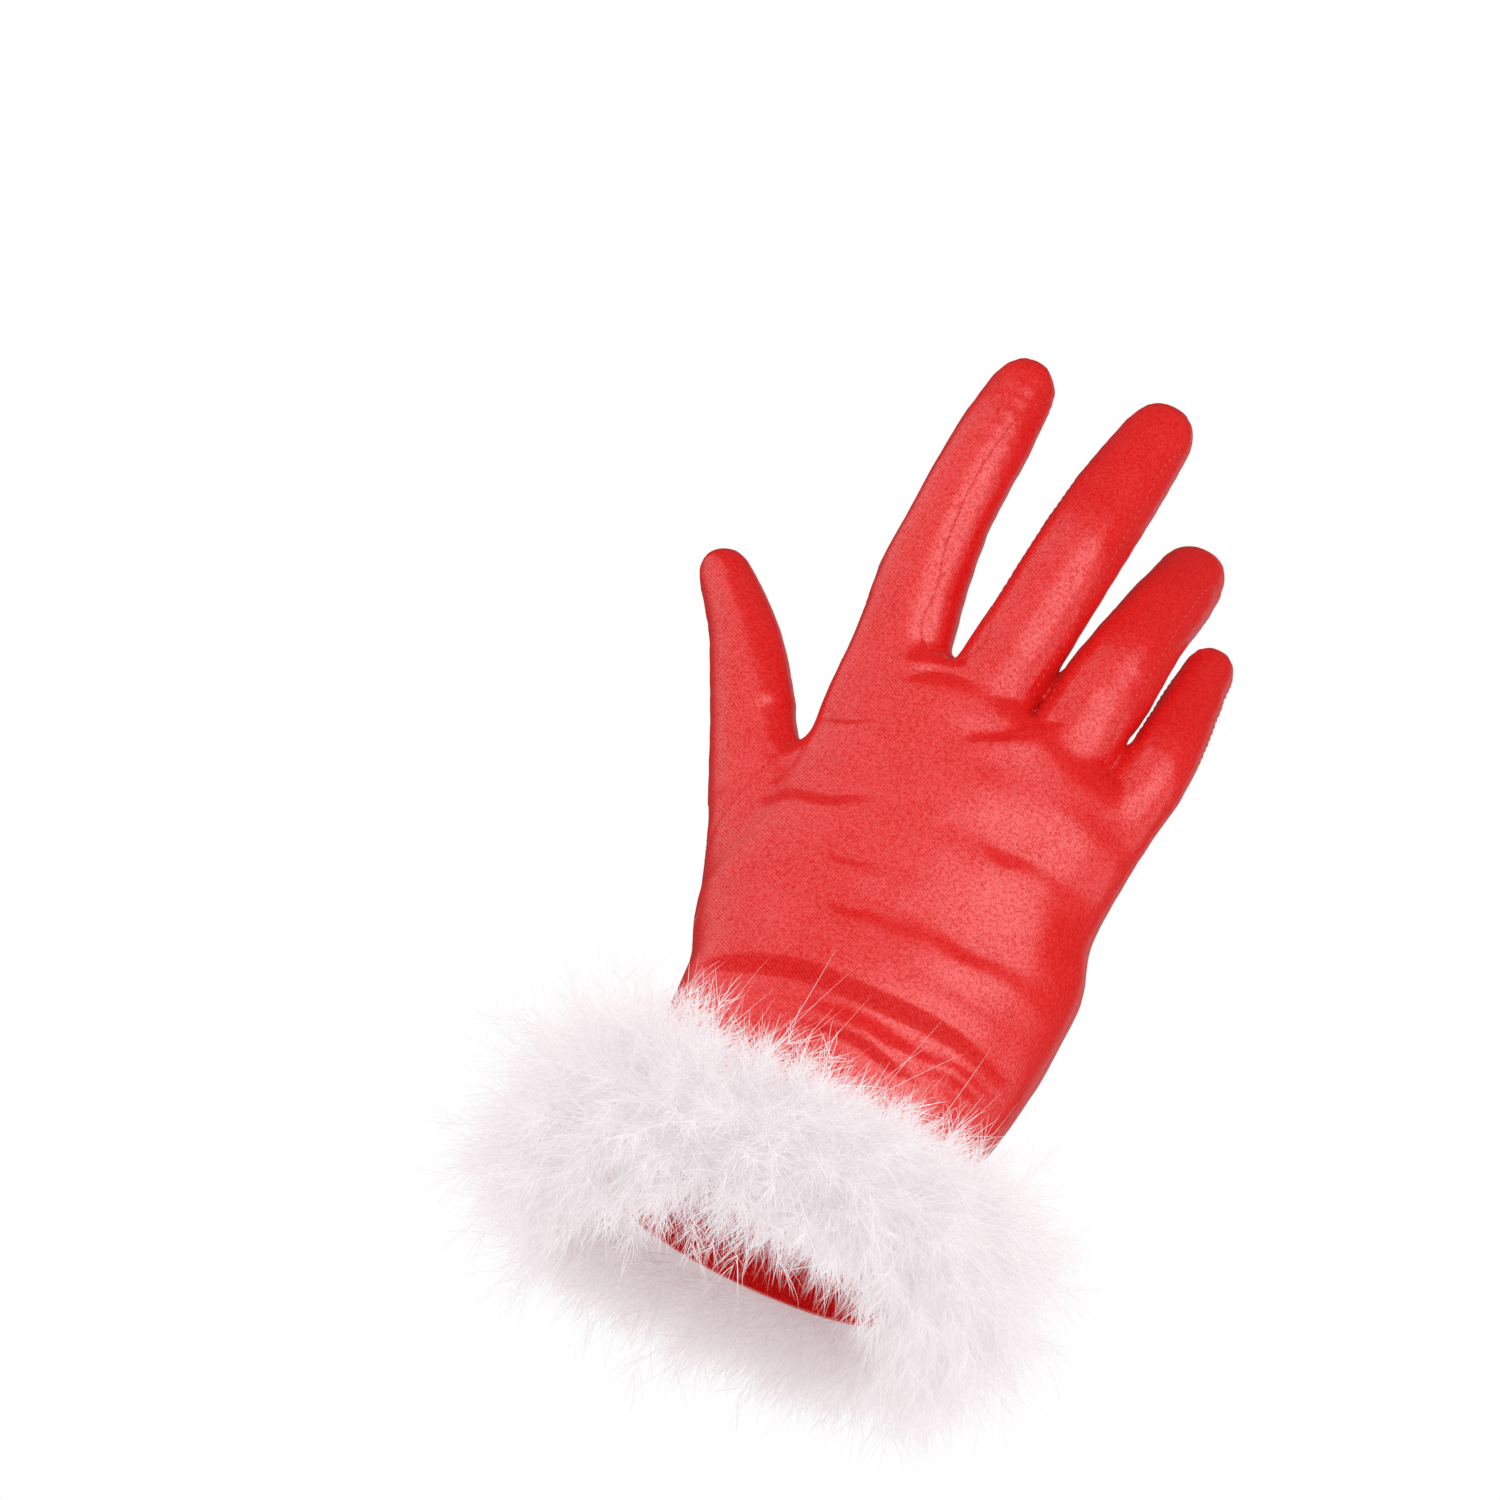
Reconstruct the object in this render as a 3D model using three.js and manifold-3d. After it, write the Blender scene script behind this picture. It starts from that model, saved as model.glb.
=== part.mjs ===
// A costume glove of shiny satin with a feather trim round the wrist: a right-hand glove, fingers up.
// Millimetres, +Z up. The origin is the centre of the wrist opening, in the plane of the hem.
// -Y is the back of the hand, +Y the palm, +X the side of the little finger, -X the side of the thumb.
import * as THREE from 'three';
import { mergeVertices } from 'three/addons/utils/BufferGeometryUtils.js';
import Module from 'manifold-3d';

const wasm = await Module();
wasm.setup();

// Driving dimensions.
const WALL = 1.3; // satin with its seam allowance
const SEAM_GAP = 0.3; // between two panels that are sewn together
const HEM_RUNOUT = 8; // how far the inside runs out through the hem when it is cut
const OUTSIDE = { handSides: 26, fingerSides: 12 };
const INSIDE = { handSides: 18, fingerSides: 8 };
const FINGER_STEPS = 6;
const SECTION_POWER = 2.2; // above 2, a section is a little squarer than an ellipse
const DEPTH_TO_WIDTH = 0.9; // of a finger
const TIP = {
  length: 1.05, // of a fingertip's dome, in half widths
  behindEnd: 0.4, // share of the dome that starts before the end of the finger's line
  rings: [28, 55, 76], // degrees round the dome from its rim
  bluntness: 0.65, // below 1, the dome is blunter than a ball
  flat: 0.3, // what is left of the finger's size at the very tip
};
const FAR = 120; // reach of a cutter past the glove
const SLIVER = 0.01; // vertices are rounded to this, so that the thinnest slivers close up

// Sections of the hand, from the hem up. tilt is the slope of a section towards the little finger.
const HAND = table(
  ['height', 'halfWidth', 'halfDepth', 'centreX', 'centreY', 'tilt'],
  [0, 38.2, 26.5, 0, 0, 0],
  [20, 38, 25.8, -0.3, 0, 0],
  [40, 39, 25, -1.3, 0, 0],
  [55, 40.5, 24.5, -0.7, 0.5, 0],
  [65, 42.9, 24, -2.3, 1, 0],
  [78, 44.8, 23, -3.7, 1.5, 0],
  [90, 43.7, 21.8, -3.5, 1.8, -0.02],
  [102, 40.8, 20.2, -3.8, 1.8, -0.06],
  [115, 39.6, 18, -3.6, 1, -0.1],
  [128, 39.4, 15.5, -3.8, 0, -0.18],
  [137, 37.5, 12, -3.8, 0, -0.22],
  [142.5, 32.5, 8, -3.5, 0, -0.22],
);
const HAND_RINGS = { first: 4, step: 10, creaseStep: 5, creaseTop: 72, shortOfTop: 3 };

// Creases across the back of the hand and wrist. A crease runs from (fromX, fromZ) to (toX, toZ).
const CREASES = table(
  ['fromX', 'fromZ', 'toX', 'toZ', 'depth', 'width', 'rise'],
  [-36, 46, 34, 54, 2.6, 4, 1.4],
  [-4, 39, 32, 38, 1.6, 3.5, 1],
  [-8, 65, 28, 68, 1.3, 5, 0.8],
  [-20, 92, 2, 88, 0.9, 5, 0.5],
);
const RISE_BESIDE = 1.6; // from the middle of a crease to its rise, in crease widths

// Each finger: points along its middle, half widths at them, and where its side strips begin and end, in
// degrees from the line that faces away from the palm, towards the little finger.
const FINGERS = {
  index: {
    path: table(
      ['x', 'y', 'z', 'halfWidth'],
      [-27, 1, 96, 10.5],
      [-32.5, 0.5, 122, 11],
      [-34.1, 0, 147, 11.1],
      [-37, 0, 164.5, 10.6],
      [-38.2, -0.8, 181, 9.5],
      [-38.6, -0.3, 194, 9.3],
      [-38.7, 1.5, 207, 8.9],
      [-38.6, 4.3, 223.7, 7.4],
    ),
    towardsLittle: { back: 17, palm: 125 },
  },
  middle: {
    path: table(
      ['x', 'y', 'z', 'halfWidth'],
      [-11.5, 0, 118, 11],
      [-10.6, -2.5, 144.2, 10.7],
      [-9.6, -3.2, 161, 10.4],
      [-8.6, -2.4, 182.9, 10.3],
      [-8.1, 2.5, 201.5, 10],
      [-7.4, 6, 213.7, 9.5],
      [-6.4, 10.5, 230.2, 8.3],
    ),
    towardsLittle: { back: 54, palm: 138 },
    towardsThumb: { back: -80, palm: -150 },
  },
  ring: {
    path: table(
      ['x', 'y', 'z', 'halfWidth'],
      [10, 0, 116, 10.2],
      [11, -0.8, 143, 10.2],
      [12.2, 0.5, 157, 10.3],
      [12.5, 3, 169.5, 10],
      [12.9, 7.5, 179.5, 9.5],
      [13.4, 14.5, 192, 9.1],
      [13.5, 24, 206.8, 8.3],
    ),
    towardsLittle: { back: 43, palm: 130 },
    towardsThumb: { back: -80, palm: -150 },
  },
  little: {
    path: table(
      ['x', 'y', 'z', 'halfWidth'],
      [27.5, 1, 98, 8.6],
      [29, 1, 128, 8.1],
      [30.7, 1.2, 142, 8.2],
      [31, 4, 153.4, 8],
      [30.3, 8, 162.7, 7.7],
      [29.2, 13, 173.5, 7.2],
      [27.9, 18.5, 184, 6.6],
    ),
    towardsThumb: { back: -78, palm: -150 },
  },
};

const THUMB_PATH = table(
  ['x', 'y', 'z', 'halfWidth'],
  [-30, 1, 58, 11.5],
  [-38, 2.5, 80.5, 12.3],
  [-45, 4, 97, 11.8],
  [-52.3, 6, 111, 10.8],
  [-59.7, 8, 123.8, 9.5],
  [-64.3, 10, 131.8, 8.9],
  [-69.5, 12.5, 140, 8],
  [-75.3, 15.5, 147.5, 7.2],
  [-82.4, 18.6, 155.8, 5.8],
);
const THUMB_SEAM = { x: -48.3, z: 98.5, leanDegrees: 11, clearance: 2 }; // close to upright

// Where the fingers start: just above the end of the hand, on a plane that slopes with the knuckles.
const FINGER_ROOTS = { z: 146.5, slope: -0.22, clearance: 0.3 };

// The bottom of the gap between two fingers.
const WEBS = table(
  ['x', 'z', 'halfWidth'],
  [-23.3, 149.5, 11],
  [0.3, 146.5, 11],
  [21.8, 138.5, 9],
);
const WEB_HALF_DEPTH = 4.5;
const WEB_BELOW = 8;
const WEB_ABOVE = 7;
const STRIP = {
  shares: [0, 0.14, 0.28, 0.45, 0.6, 0.72, 0.84, 1], // stations along it
  narrowest: 0.12, // of its angle, at its two pointed ends
  taperAtWeb: 24,
  taperAtTip: 14,
  shortOfTip: 2,
  outerReach: 2.8, // of its wedge's outer edge, in half widths
  sideReach: 1.7, // of its wedge's two sides
  innerReach: 0.02, // of its wedge's inner edge
  angularGrowth: 1.2, // its margin in degrees is a little wider than in millimetres
};

// The surface that parts the back of the glove from its palm.
const PARTING = { steps: 14, middleHeight: 118, height: 276, flatBelow: 100, curledAbove: 130 };

// The feather trim: a soft ring round the wrist with locks of feather that stand off it. It sits above the
// hem and rises a little towards the little finger's side.
const TRIM = { sides: 8, steps: 22, halfHeight: 20, thickness: 22, flatness: 1.3, middle: 8, rise: 0.06 };
const TRIM_LUMP = { size: 0.1, around: 7, upward: 3, second: 4 };
const LOCK = {
  radius: 12,
  sides: 5,
  steps: 2,
  rows: 3,
  perRow: 10,
  tip: 0.2,
  taper: 0.6,
  root: 0.55, // how far out of the ring's middle it starts, as a share of the ring
  lift: 0.75, // how far the upper and lower rows point up and down
  shorter: 8, // the upper and lower rows
  turn: 0.35, // how far it leans along the ring
};
const UNEVEN = { length: 0.1, perTurn: 37, perRow: 5 };
const WANDER = { share: 0.16, perLock: 12.9, perRow: 7.3 };
const TRIM_REACH = table(
  ['degrees', 'reach', 'droop'],
  [0, 44, 3],
  [60, 39, 2],
  [120, 37, 2],
  [180, 36, 6],
  [240, 38, 2],
  [300, 40, 2],
  [360, 44, 3],
);

const SATIN_RED = 0xd6222b;
const MARABOU_WHITE = 0xf1ecee;
const satin = () => new THREE.MeshStandardMaterial({ color: SATIN_RED, roughness: 0.38, metalness: 0 });
const marabou = () => new THREE.MeshStandardMaterial({ color: MARABOU_WHITE, roughness: 0.95, metalness: 0 });

// Rows of numbers with named columns, as a list of objects.
function table(columns, ...rows) {
  return rows.map((row) => Object.fromEntries(columns.map((name, i) => [name, row[i]])));
}

// A column's value between the rows of a table, smooth through each row.
function between(rows, key, at, column) {
  const last = rows.length - 1;
  let i = 0;
  while (i < last - 1 && rows[i + 1][key] < at) {
    i += 1;
  }
  const span = rows[i + 1][key] - rows[i][key];
  const t = THREE.MathUtils.clamp((at - rows[i][key]) / span, 0, 1);
  const value = (k) => rows[THREE.MathUtils.clamp(k, 0, last)][column];
  const slopeIn = (value(i + 1) - value(i - 1)) / 2;
  const slopeOut = (value(i + 2) - value(i)) / 2;
  const rise = value(i + 1) - value(i);
  return value(i) + slopeIn * t + (3 * rise - 2 * slopeIn - slopeOut) * t * t
    + (slopeIn + slopeOut - 2 * rise) * t * t * t;
}

// A three.js geometry as a solid for the joins and cuts. A triangle with no area is left out, and so are
// two that lie back to back.
function solidOf(geometry) {
  geometry.deleteAttribute('normal');
  geometry.deleteAttribute('uv');
  const merged = mergeVertices(geometry, 1e-4);
  const kept = new Map();
  for (let i = 0; i < merged.index.count; i += 3) {
    const corners = [merged.index.getX(i), merged.index.getX(i + 1), merged.index.getX(i + 2)];
    const key = [...corners].sort((a, b) => a - b).join();
    if (kept.has(key)) {
      kept.delete(key);
    } else if (new Set(corners).size === 3) {
      kept.set(key, corners);
    }
  }
  const triangles = [...kept.values()].flat();
  const vertProperties = new Float32Array(merged.attributes.position.array);
  const triVerts = new Uint32Array(triangles);
  return new wasm.Manifold(new wasm.Mesh({ numProp: 3, vertProperties, triVerts }));
}

function geometryOf(solid) {
  const { vertProperties, triVerts } = solid.getMesh();
  const geometry = new THREE.BufferGeometry();
  geometry.setAttribute('position', new THREE.BufferAttribute(new Float32Array(vertProperties), 3));
  geometry.setIndex(new THREE.BufferAttribute(new Uint32Array(triVerts), 1));
  return geometry;
}

// The largest body of a solid, as a named mesh without slivers.
function meshOf(name, solid, material) {
  const bodies = solid.decompose().sort((a, b) => b.volume() - a.volume());
  const rough = geometryOf(bodies[0]);
  const position = rough.attributes.position;
  position.array.forEach((value, i) => {
    position.array[i] = Math.round(value / SLIVER) * SLIVER;
  });
  const clean = solidOf(rough);
  const mesh = new THREE.Mesh(geometryOf(clean), material);
  mesh.name = name;
  return mesh;
}

// A closed loft: the rings of a cylinder, from its bottom up, moved onto a list of sections.
// place gives the point of a section at an angle, and at a radius of 1 on its edge and 0 in its middle.
function loft(sections, sides, place) {
  const steps = sections.length - 1;
  const geometry = new THREE.CylinderGeometry(1, 1, 1, sides, steps);
  const position = geometry.attributes.position;
  for (let i = 0; i < position.count; i += 1) {
    const section = sections[Math.round((position.getY(i) + 0.5) * steps)];
    const radius = Math.hypot(position.getX(i), position.getZ(i));
    const angle = Math.atan2(position.getZ(i), position.getX(i));
    const point = place(section, angle, radius);
    position.setXYZ(i, point.x, point.y, point.z);
  }
  return solidOf(geometry);
}

// A point on a rounded section of half size 1, for an angle.
function roundedSection(angle) {
  const soften = (v) => Math.sign(v) * Math.abs(v) ** (2 / SECTION_POWER);
  return { across: soften(Math.cos(angle)), up: soften(Math.sin(angle)) };
}

// How far the creases push the back of the hand in (negative) or out, at a place on it.
function creaseOffset(x, z) {
  let offset = 0;
  for (const crease of CREASES) {
    const length = crease.toX - crease.fromX;
    const along = (x - crease.fromX) / length;
    const past = Math.max(0, -along, along - 1) * length / crease.width;
    const fade = Math.exp(-past * past);
    const line = crease.fromZ + along * (crease.toZ - crease.fromZ);
    const off = (z - line) / crease.width;
    offset -= fade * crease.depth * Math.exp(-off * off);
    const above = Math.exp(-((off - RISE_BESIDE) ** 2));
    const below = Math.exp(-((off + RISE_BESIDE) ** 2));
    offset += fade * crease.rise * (above + below);
  }
  return offset;
}

// The hand up to the roots of the fingers, grown by a margin, or shrunk if it is negative.
function handSolid(margin, startHeight, { handSides } = OUTSIDE) {
  const top = HAND[HAND.length - 1].height;
  const { first, step, creaseStep, creaseTop, shortOfTop } = HAND_RINGS;
  const heights = [startHeight];
  for (let height = first; height < top - shortOfTop; height += height < creaseTop ? creaseStep : step) {
    heights.push(height);
  }
  heights.push(top + margin);
  const sections = heights.map((height) => {
    const section = { height };
    for (const column of ['halfWidth', 'halfDepth', 'centreX', 'centreY', 'tilt']) {
      section[column] = between(HAND, 'height', THREE.MathUtils.clamp(height, 0, top), column);
    }
    return section;
  });
  return loft(sections, handSides, (section, angle, radius) => {
    const { across, up } = roundedSection(angle);
    const x = section.centreX + radius * across * (section.halfWidth + margin);
    const onBack = Math.max(0, up) * radius;
    const depth = section.halfDepth + margin + onBack * creaseOffset(x, section.height);
    const y = section.centreY - radius * up * depth;
    return new THREE.Vector3(x, y, section.height + section.tilt * x);
  });
}

// The middle line of a finger or thumb, with the directions and the half width at a distance along it.
function fingerLine(path) {
  const curve = new THREE.CatmullRomCurve3(path.map((row) => new THREE.Vector3(row.x, row.y, row.z)));
  const length = curve.getLength();
  const numbered = path.map((row, i) => ({ ...row, i }));
  const at = (along) => {
    const share = THREE.MathUtils.clamp(along / length, 0, 1);
    const ahead = curve.getTangentAt(share);
    const middle = curve.getPointAt(share).addScaledVector(ahead, along - share * length);
    const across = new THREE.Vector3(1, 0, 0).addScaledVector(ahead, -ahead.x).normalize();
    const facing = new THREE.Vector3().crossVectors(across, ahead);
    const row = curve.getUtoTmapping(share) * (path.length - 1);
    return { along, middle, across, facing, halfWidth: between(numbered, 'i', row, 'halfWidth') };
  };
  return { at, length };
}

// The stations along a finger or thumb, grown by a margin, with a round tip.
function fingerStations(path, margin) {
  const line = fingerLine(path);
  const domeLength = path[path.length - 1].halfWidth * TIP.length;
  const domeStart = line.length - domeLength * TIP.behindEnd;
  const stations = [];
  for (let i = 0; i <= FINGER_STEPS; i += 1) {
    stations.push({ ...line.at(domeStart * i / FINGER_STEPS), size: 1 });
  }
  for (const degrees of TIP.rings) {
    const angle = THREE.MathUtils.degToRad(degrees);
    const size = Math.max(TIP.flat, Math.cos(angle) ** TIP.bluntness);
    stations.push({ ...line.at(domeStart + (domeLength + margin) * Math.sin(angle)), size });
  }
  return stations.map((station) => ({ ...station, halfWidth: station.halfWidth + margin }));
}

function fingerSolid(path, margin, { fingerSides } = OUTSIDE) {
  return loft(fingerStations(path, margin), fingerSides, (station, angle, radius) => {
    const { across, up } = roundedSection(angle);
    const halfWidth = station.halfWidth * station.size * radius;
    const halfDepth = halfWidth * DEPTH_TO_WIDTH;
    const point = station.middle.clone();
    point.addScaledVector(station.across, across * halfWidth);
    return point.addScaledVector(station.facing, up * halfDepth);
  });
}

// The wedge of a finger that its side strip covers, pointed at the web and at the fingertip.
function stripWedge(path, strip, webHeight, margin) {
  const line = fingerLine(path);
  const webTurn = 90 * Math.sign(strip.back);
  const middleTurn = (strip.back + strip.palm) / 2;
  const halfTurn = Math.abs(strip.palm - strip.back) / 2;
  const start = webHeight - WEB_BELOW - path[0].z;
  const end = line.length - STRIP.shortOfTip;
  const stations = STRIP.shares.map((share) => {
    const along = THREE.MathUtils.lerp(start, end, share);
    const taper = Math.min((along - start) / STRIP.taperAtWeb, (end - along) / STRIP.taperAtTip);
    const open = THREE.MathUtils.clamp(taper, STRIP.narrowest, 1);
    const grown = THREE.MathUtils.lerp(start - margin, end + margin, share);
    return { ...line.at(grown), open };
  });
  const wedge = loft(stations, 4, (station, angle, radius) => {
    const growth = THREE.MathUtils.radToDeg(margin * STRIP.angularGrowth / station.halfWidth);
    const half = halfTurn * station.open + growth;
    const centre = THREE.MathUtils.lerp(webTurn, middleTurn, station.open);
    const corners = [
      { turn: centre, far: STRIP.outerReach },
      { turn: centre - half, far: STRIP.sideReach },
      { turn: centre, far: STRIP.innerReach },
      { turn: centre + half, far: STRIP.sideReach },
    ].map(({ turn, far }) => {
      const radians = THREE.MathUtils.degToRad(turn);
      const size = far * station.halfWidth;
      const point = station.middle.clone().addScaledVector(station.facing, size * Math.cos(radians));
      return point.addScaledVector(station.across, size * Math.sin(radians));
    });
    const corner = THREE.MathUtils.euclideanModulo(Math.round(angle / (Math.PI / 2)), 4);
    const middle = corners[0].clone().add(corners[2]).multiplyScalar(0.5);
    return radius < 0.5 ? middle : corners[corner];
  });
  return wedge.intersect(fingerSolid(path, WALL / 2 + margin));
}

// What a fourchette takes out of the shell: a wedge of each finger and the bottom of the gap.
function fourchetteCutter(left, right, web, margin) {
  const box = new THREE.BoxGeometry(
    2 * (web.halfWidth + margin),
    2 * (WEB_HALF_DEPTH + margin),
    WEB_BELOW + WEB_ABOVE + 2 * margin,
  );
  box.translate(web.x, 0, web.z + (WEB_ABOVE - WEB_BELOW) / 2);
  return solidOf(box)
    .add(stripWedge(left.path, left.towardsLittle, web.z, margin))
    .add(stripWedge(right.path, right.towardsThumb, web.z, margin));
}

// All that lies on the back's side of a surface through the middle of the hand and of each curled finger.
function backHalf(margin) {
  const fingers = Object.values(FINGERS).map((finger) => finger.path);
  const onFingers = (x, z) => {
    const places = fingers.map((path) => ({ x: between(path, 'z', z, 'x'), y: between(path, 'z', z, 'y') }));
    const clamped = THREE.MathUtils.clamp(x, places[0].x, places[places.length - 1].x);
    const i = places.findIndex((place, k) => k > 0 && clamped <= place.x);
    const t = (clamped - places[i - 1].x) / (places[i].x - places[i - 1].x);
    return THREE.MathUtils.lerp(places[i - 1].y, places[i].y, t);
  };
  const { steps, middleHeight, height, flatBelow, curledAbove } = PARTING;
  const box = new THREE.BoxGeometry(2 * FAR, FAR, height, steps, 1, steps);
  const position = box.attributes.position;
  for (let i = 0; i < position.count; i += 1) {
    const x = position.getX(i);
    const z = position.getZ(i) + middleHeight;
    const y = onFingers(x, z) * THREE.MathUtils.smoothstep(z, flatBelow, curledAbove) + margin;
    position.setXYZ(i, x, position.getY(i) > 0 ? y : -FAR, z);
  }
  return solidOf(box);
}

// All that lies above the roots of the fingers.
function aboveRoots(margin) {
  const box = new THREE.BoxGeometry(2 * FAR, 2 * FAR, 2 * FAR);
  const position = box.attributes.position;
  for (let i = 0; i < position.count; i += 1) {
    const root = FINGER_ROOTS.z + FINGER_ROOTS.slope * position.getX(i) - margin;
    position.setZ(i, position.getZ(i) + FAR + root);
  }
  return solidOf(box);
}

// The side of the thumb's seam that the thumb is on.
function thumbCutter(margin) {
  const box = new THREE.BoxGeometry(FAR, 2 * FAR, 2 * FAR);
  box.translate(-FAR / 2 + margin, 0, 0);
  box.rotateY(THREE.MathUtils.degToRad(THUMB_SEAM.leanDegrees));
  box.translate(THUMB_SEAM.x, 0, THUMB_SEAM.z);
  return fingerSolid(THUMB_PATH, THUMB_SEAM.clearance + margin).intersect(solidOf(box));
}

// The height of the trim's middle line.
function trimMiddle(x) {
  return TRIM.middle + TRIM.rise * x;
}

// The soft ring of the trim, round the oval wrist.
function trimRing() {
  const geometry = new THREE.TorusGeometry(2, 1, TRIM.sides, TRIM.steps);
  const position = geometry.attributes.position;
  const cuff = HAND[0];
  for (let i = 0; i < position.count; i += 1) {
    const around = Math.atan2(position.getY(i), position.getX(i));
    const outward = Math.hypot(position.getX(i), position.getY(i)) - 2;
    const upward = position.getZ(i);
    const lump = Math.sin(TRIM_LUMP.around * around + TRIM_LUMP.upward * upward);
    const swell = 1 + TRIM_LUMP.size * lump * Math.cos(TRIM_LUMP.second * around);
    const distance = TRIM.thickness / 2 * (1 + outward * swell * TRIM.flatness);
    const x = Math.cos(around) * (cuff.halfWidth + distance);
    const y = Math.sin(around) * (cuff.halfDepth + distance);
    position.setXYZ(i, x, y, upward * swell * TRIM.halfHeight + trimMiddle(x));
  }
  return solidOf(geometry);
}

// One lock of feather: a bent cone that leaves the ring at a place round it and at a height.
function trimLock(around, row) {
  const degrees = THREE.MathUtils.euclideanModulo(THREE.MathUtils.radToDeg(around), 360);
  const reach = between(TRIM_REACH, 'degrees', degrees, 'reach');
  const droop = between(TRIM_REACH, 'degrees', degrees, 'droop');
  const cuff = HAND[0];
  const start = TRIM.thickness * LOCK.root;
  const rise = (row / (LOCK.rows - 1)) * 2 - 1;
  const outward = new THREE.Vector3(Math.cos(around), Math.sin(around), 0);
  const along = new THREE.Vector3(-Math.sin(around), Math.cos(around), 0);
  const root = new THREE.Vector3(cuff.halfWidth * Math.cos(around), cuff.halfDepth * Math.sin(around), 0);
  root.addScaledVector(outward, start);
  root.z = rise * TRIM.halfHeight * LOCK.root;
  const uneven = 1 + UNEVEN.length * Math.sin(UNEVEN.perTurn * around + UNEVEN.perRow * row);
  const length = (reach - start - Math.abs(rise) * LOCK.shorter) * uneven;
  const sections = [];
  for (let i = 0; i <= LOCK.steps; i += 1) {
    sections.push(i / LOCK.steps);
  }
  return loft(sections, LOCK.sides, (t, angle, radius) => {
    const size = LOCK.radius * THREE.MathUtils.lerp((1 - t) ** LOCK.taper, 1, LOCK.tip);
    const point = root.clone();
    point.addScaledVector(outward, length * t);
    point.z += rise * length * LOCK.lift * t - droop * t * t;
    point.addScaledVector(along, LOCK.turn * length * t * t);
    point.addScaledVector(along, Math.cos(angle) * radius * size);
    point.z += trimMiddle(point.x) - Math.sin(angle) * radius * size;
    return point;
  });
}

function trimSolid() {
  let trim = trimRing();
  for (let row = 0; row < LOCK.rows; row += 1) {
    for (let i = 0; i < LOCK.perRow; i += 1) {
      const wander = WANDER.share * Math.sin(WANDER.perLock * i + WANDER.perRow * row);
      const around = (i + (row % 2) / 2 + wander) / LOCK.perRow * 2 * Math.PI;
      trim = trim.add(trimLock(around, row));
    }
  }
  return trim.subtract(handSolid(SEAM_GAP, -FAR));
}

// The satin shell, then its panels.
const fingerPaths = Object.values(FINGERS).map((finger) => finger.path);
const glovePaths = [...fingerPaths, THUMB_PATH];
const outside = glovePaths.reduce(
  (all, path) => all.add(fingerSolid(path, 0)),
  handSolid(0, 0),
);
const inside = glovePaths.reduce(
  (all, path) => all.add(fingerSolid(path, -WALL, INSIDE)),
  handSolid(-WALL, -HEM_RUNOUT, INSIDE),
);
const shell = outside.subtract(inside);

const { index, middle, ring, little } = FINGERS;
const gaps = [
  ['fourchette_index_middle', index, middle, WEBS[0]],
  ['fourchette_middle_ring', middle, ring, WEBS[1]],
  ['fourchette_ring_little', ring, little, WEBS[2]],
];
const handShell = shell.subtract(thumbCutter(SEAM_GAP));
const panels = gaps.reduce(
  (rest, [, left, right, web]) => rest.subtract(fourchetteCutter(left, right, web, SEAM_GAP)),
  handShell,
);
const handPanels = panels.subtract(aboveRoots(SEAM_GAP));
const fingerPanels = panels.intersect(aboveRoots(0));

const glove = new THREE.Group();
glove.name = 'costume_glove';
glove.add(meshOf('back_panel', handPanels.intersect(backHalf(0)), satin()));
glove.add(meshOf('palm_panel', handPanels.subtract(backHalf(SEAM_GAP)), satin()));
for (const [name, { path }] of Object.entries(FINGERS)) {
  const finger = fingerPanels.intersect(fingerSolid(path, FINGER_ROOTS.clearance));
  glove.add(meshOf(`${name}_finger`, finger, satin()));
}
glove.add(meshOf('thumb', shell.intersect(thumbCutter(0)), satin()));
for (const [name, left, right, web] of gaps) {
  glove.add(meshOf(name, handShell.intersect(fourchetteCutter(left, right, web, 0)), satin()));
}
glove.add(meshOf('marabou_trim', trimSolid(), marabou()));

export default glove;
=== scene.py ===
"""A right-hand costume glove of red satin with a white marabou trim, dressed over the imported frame."""

import math

import bmesh
import bpy
import numpy as np
from mathutils import Matrix, Vector
from mathutils.bvhtree import BVHTree
from mathutils.kdtree import KDTree


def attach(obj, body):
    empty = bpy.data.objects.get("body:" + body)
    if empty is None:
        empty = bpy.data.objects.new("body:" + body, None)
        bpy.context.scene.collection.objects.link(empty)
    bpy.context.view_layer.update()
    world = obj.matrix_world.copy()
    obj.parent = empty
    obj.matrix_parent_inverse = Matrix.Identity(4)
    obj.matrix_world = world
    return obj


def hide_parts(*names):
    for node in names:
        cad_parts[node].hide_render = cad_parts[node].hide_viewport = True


bl_info = {
    "name": "Costume Glove",
    "version": (1, 0, 0),
    "blender": (4, 5, 0),
    "location": "View3D > Sidebar > Glove",
    "description": "Builds a satin costume glove with a marabou trim",
    "category": "Add Mesh",
}

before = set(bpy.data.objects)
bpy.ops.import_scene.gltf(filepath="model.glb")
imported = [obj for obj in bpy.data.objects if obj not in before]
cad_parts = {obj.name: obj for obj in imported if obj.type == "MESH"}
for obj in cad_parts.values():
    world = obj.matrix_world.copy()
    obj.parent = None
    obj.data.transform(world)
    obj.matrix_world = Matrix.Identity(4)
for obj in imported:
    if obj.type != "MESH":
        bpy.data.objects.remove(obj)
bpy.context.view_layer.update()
MM = 0.001

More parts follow.
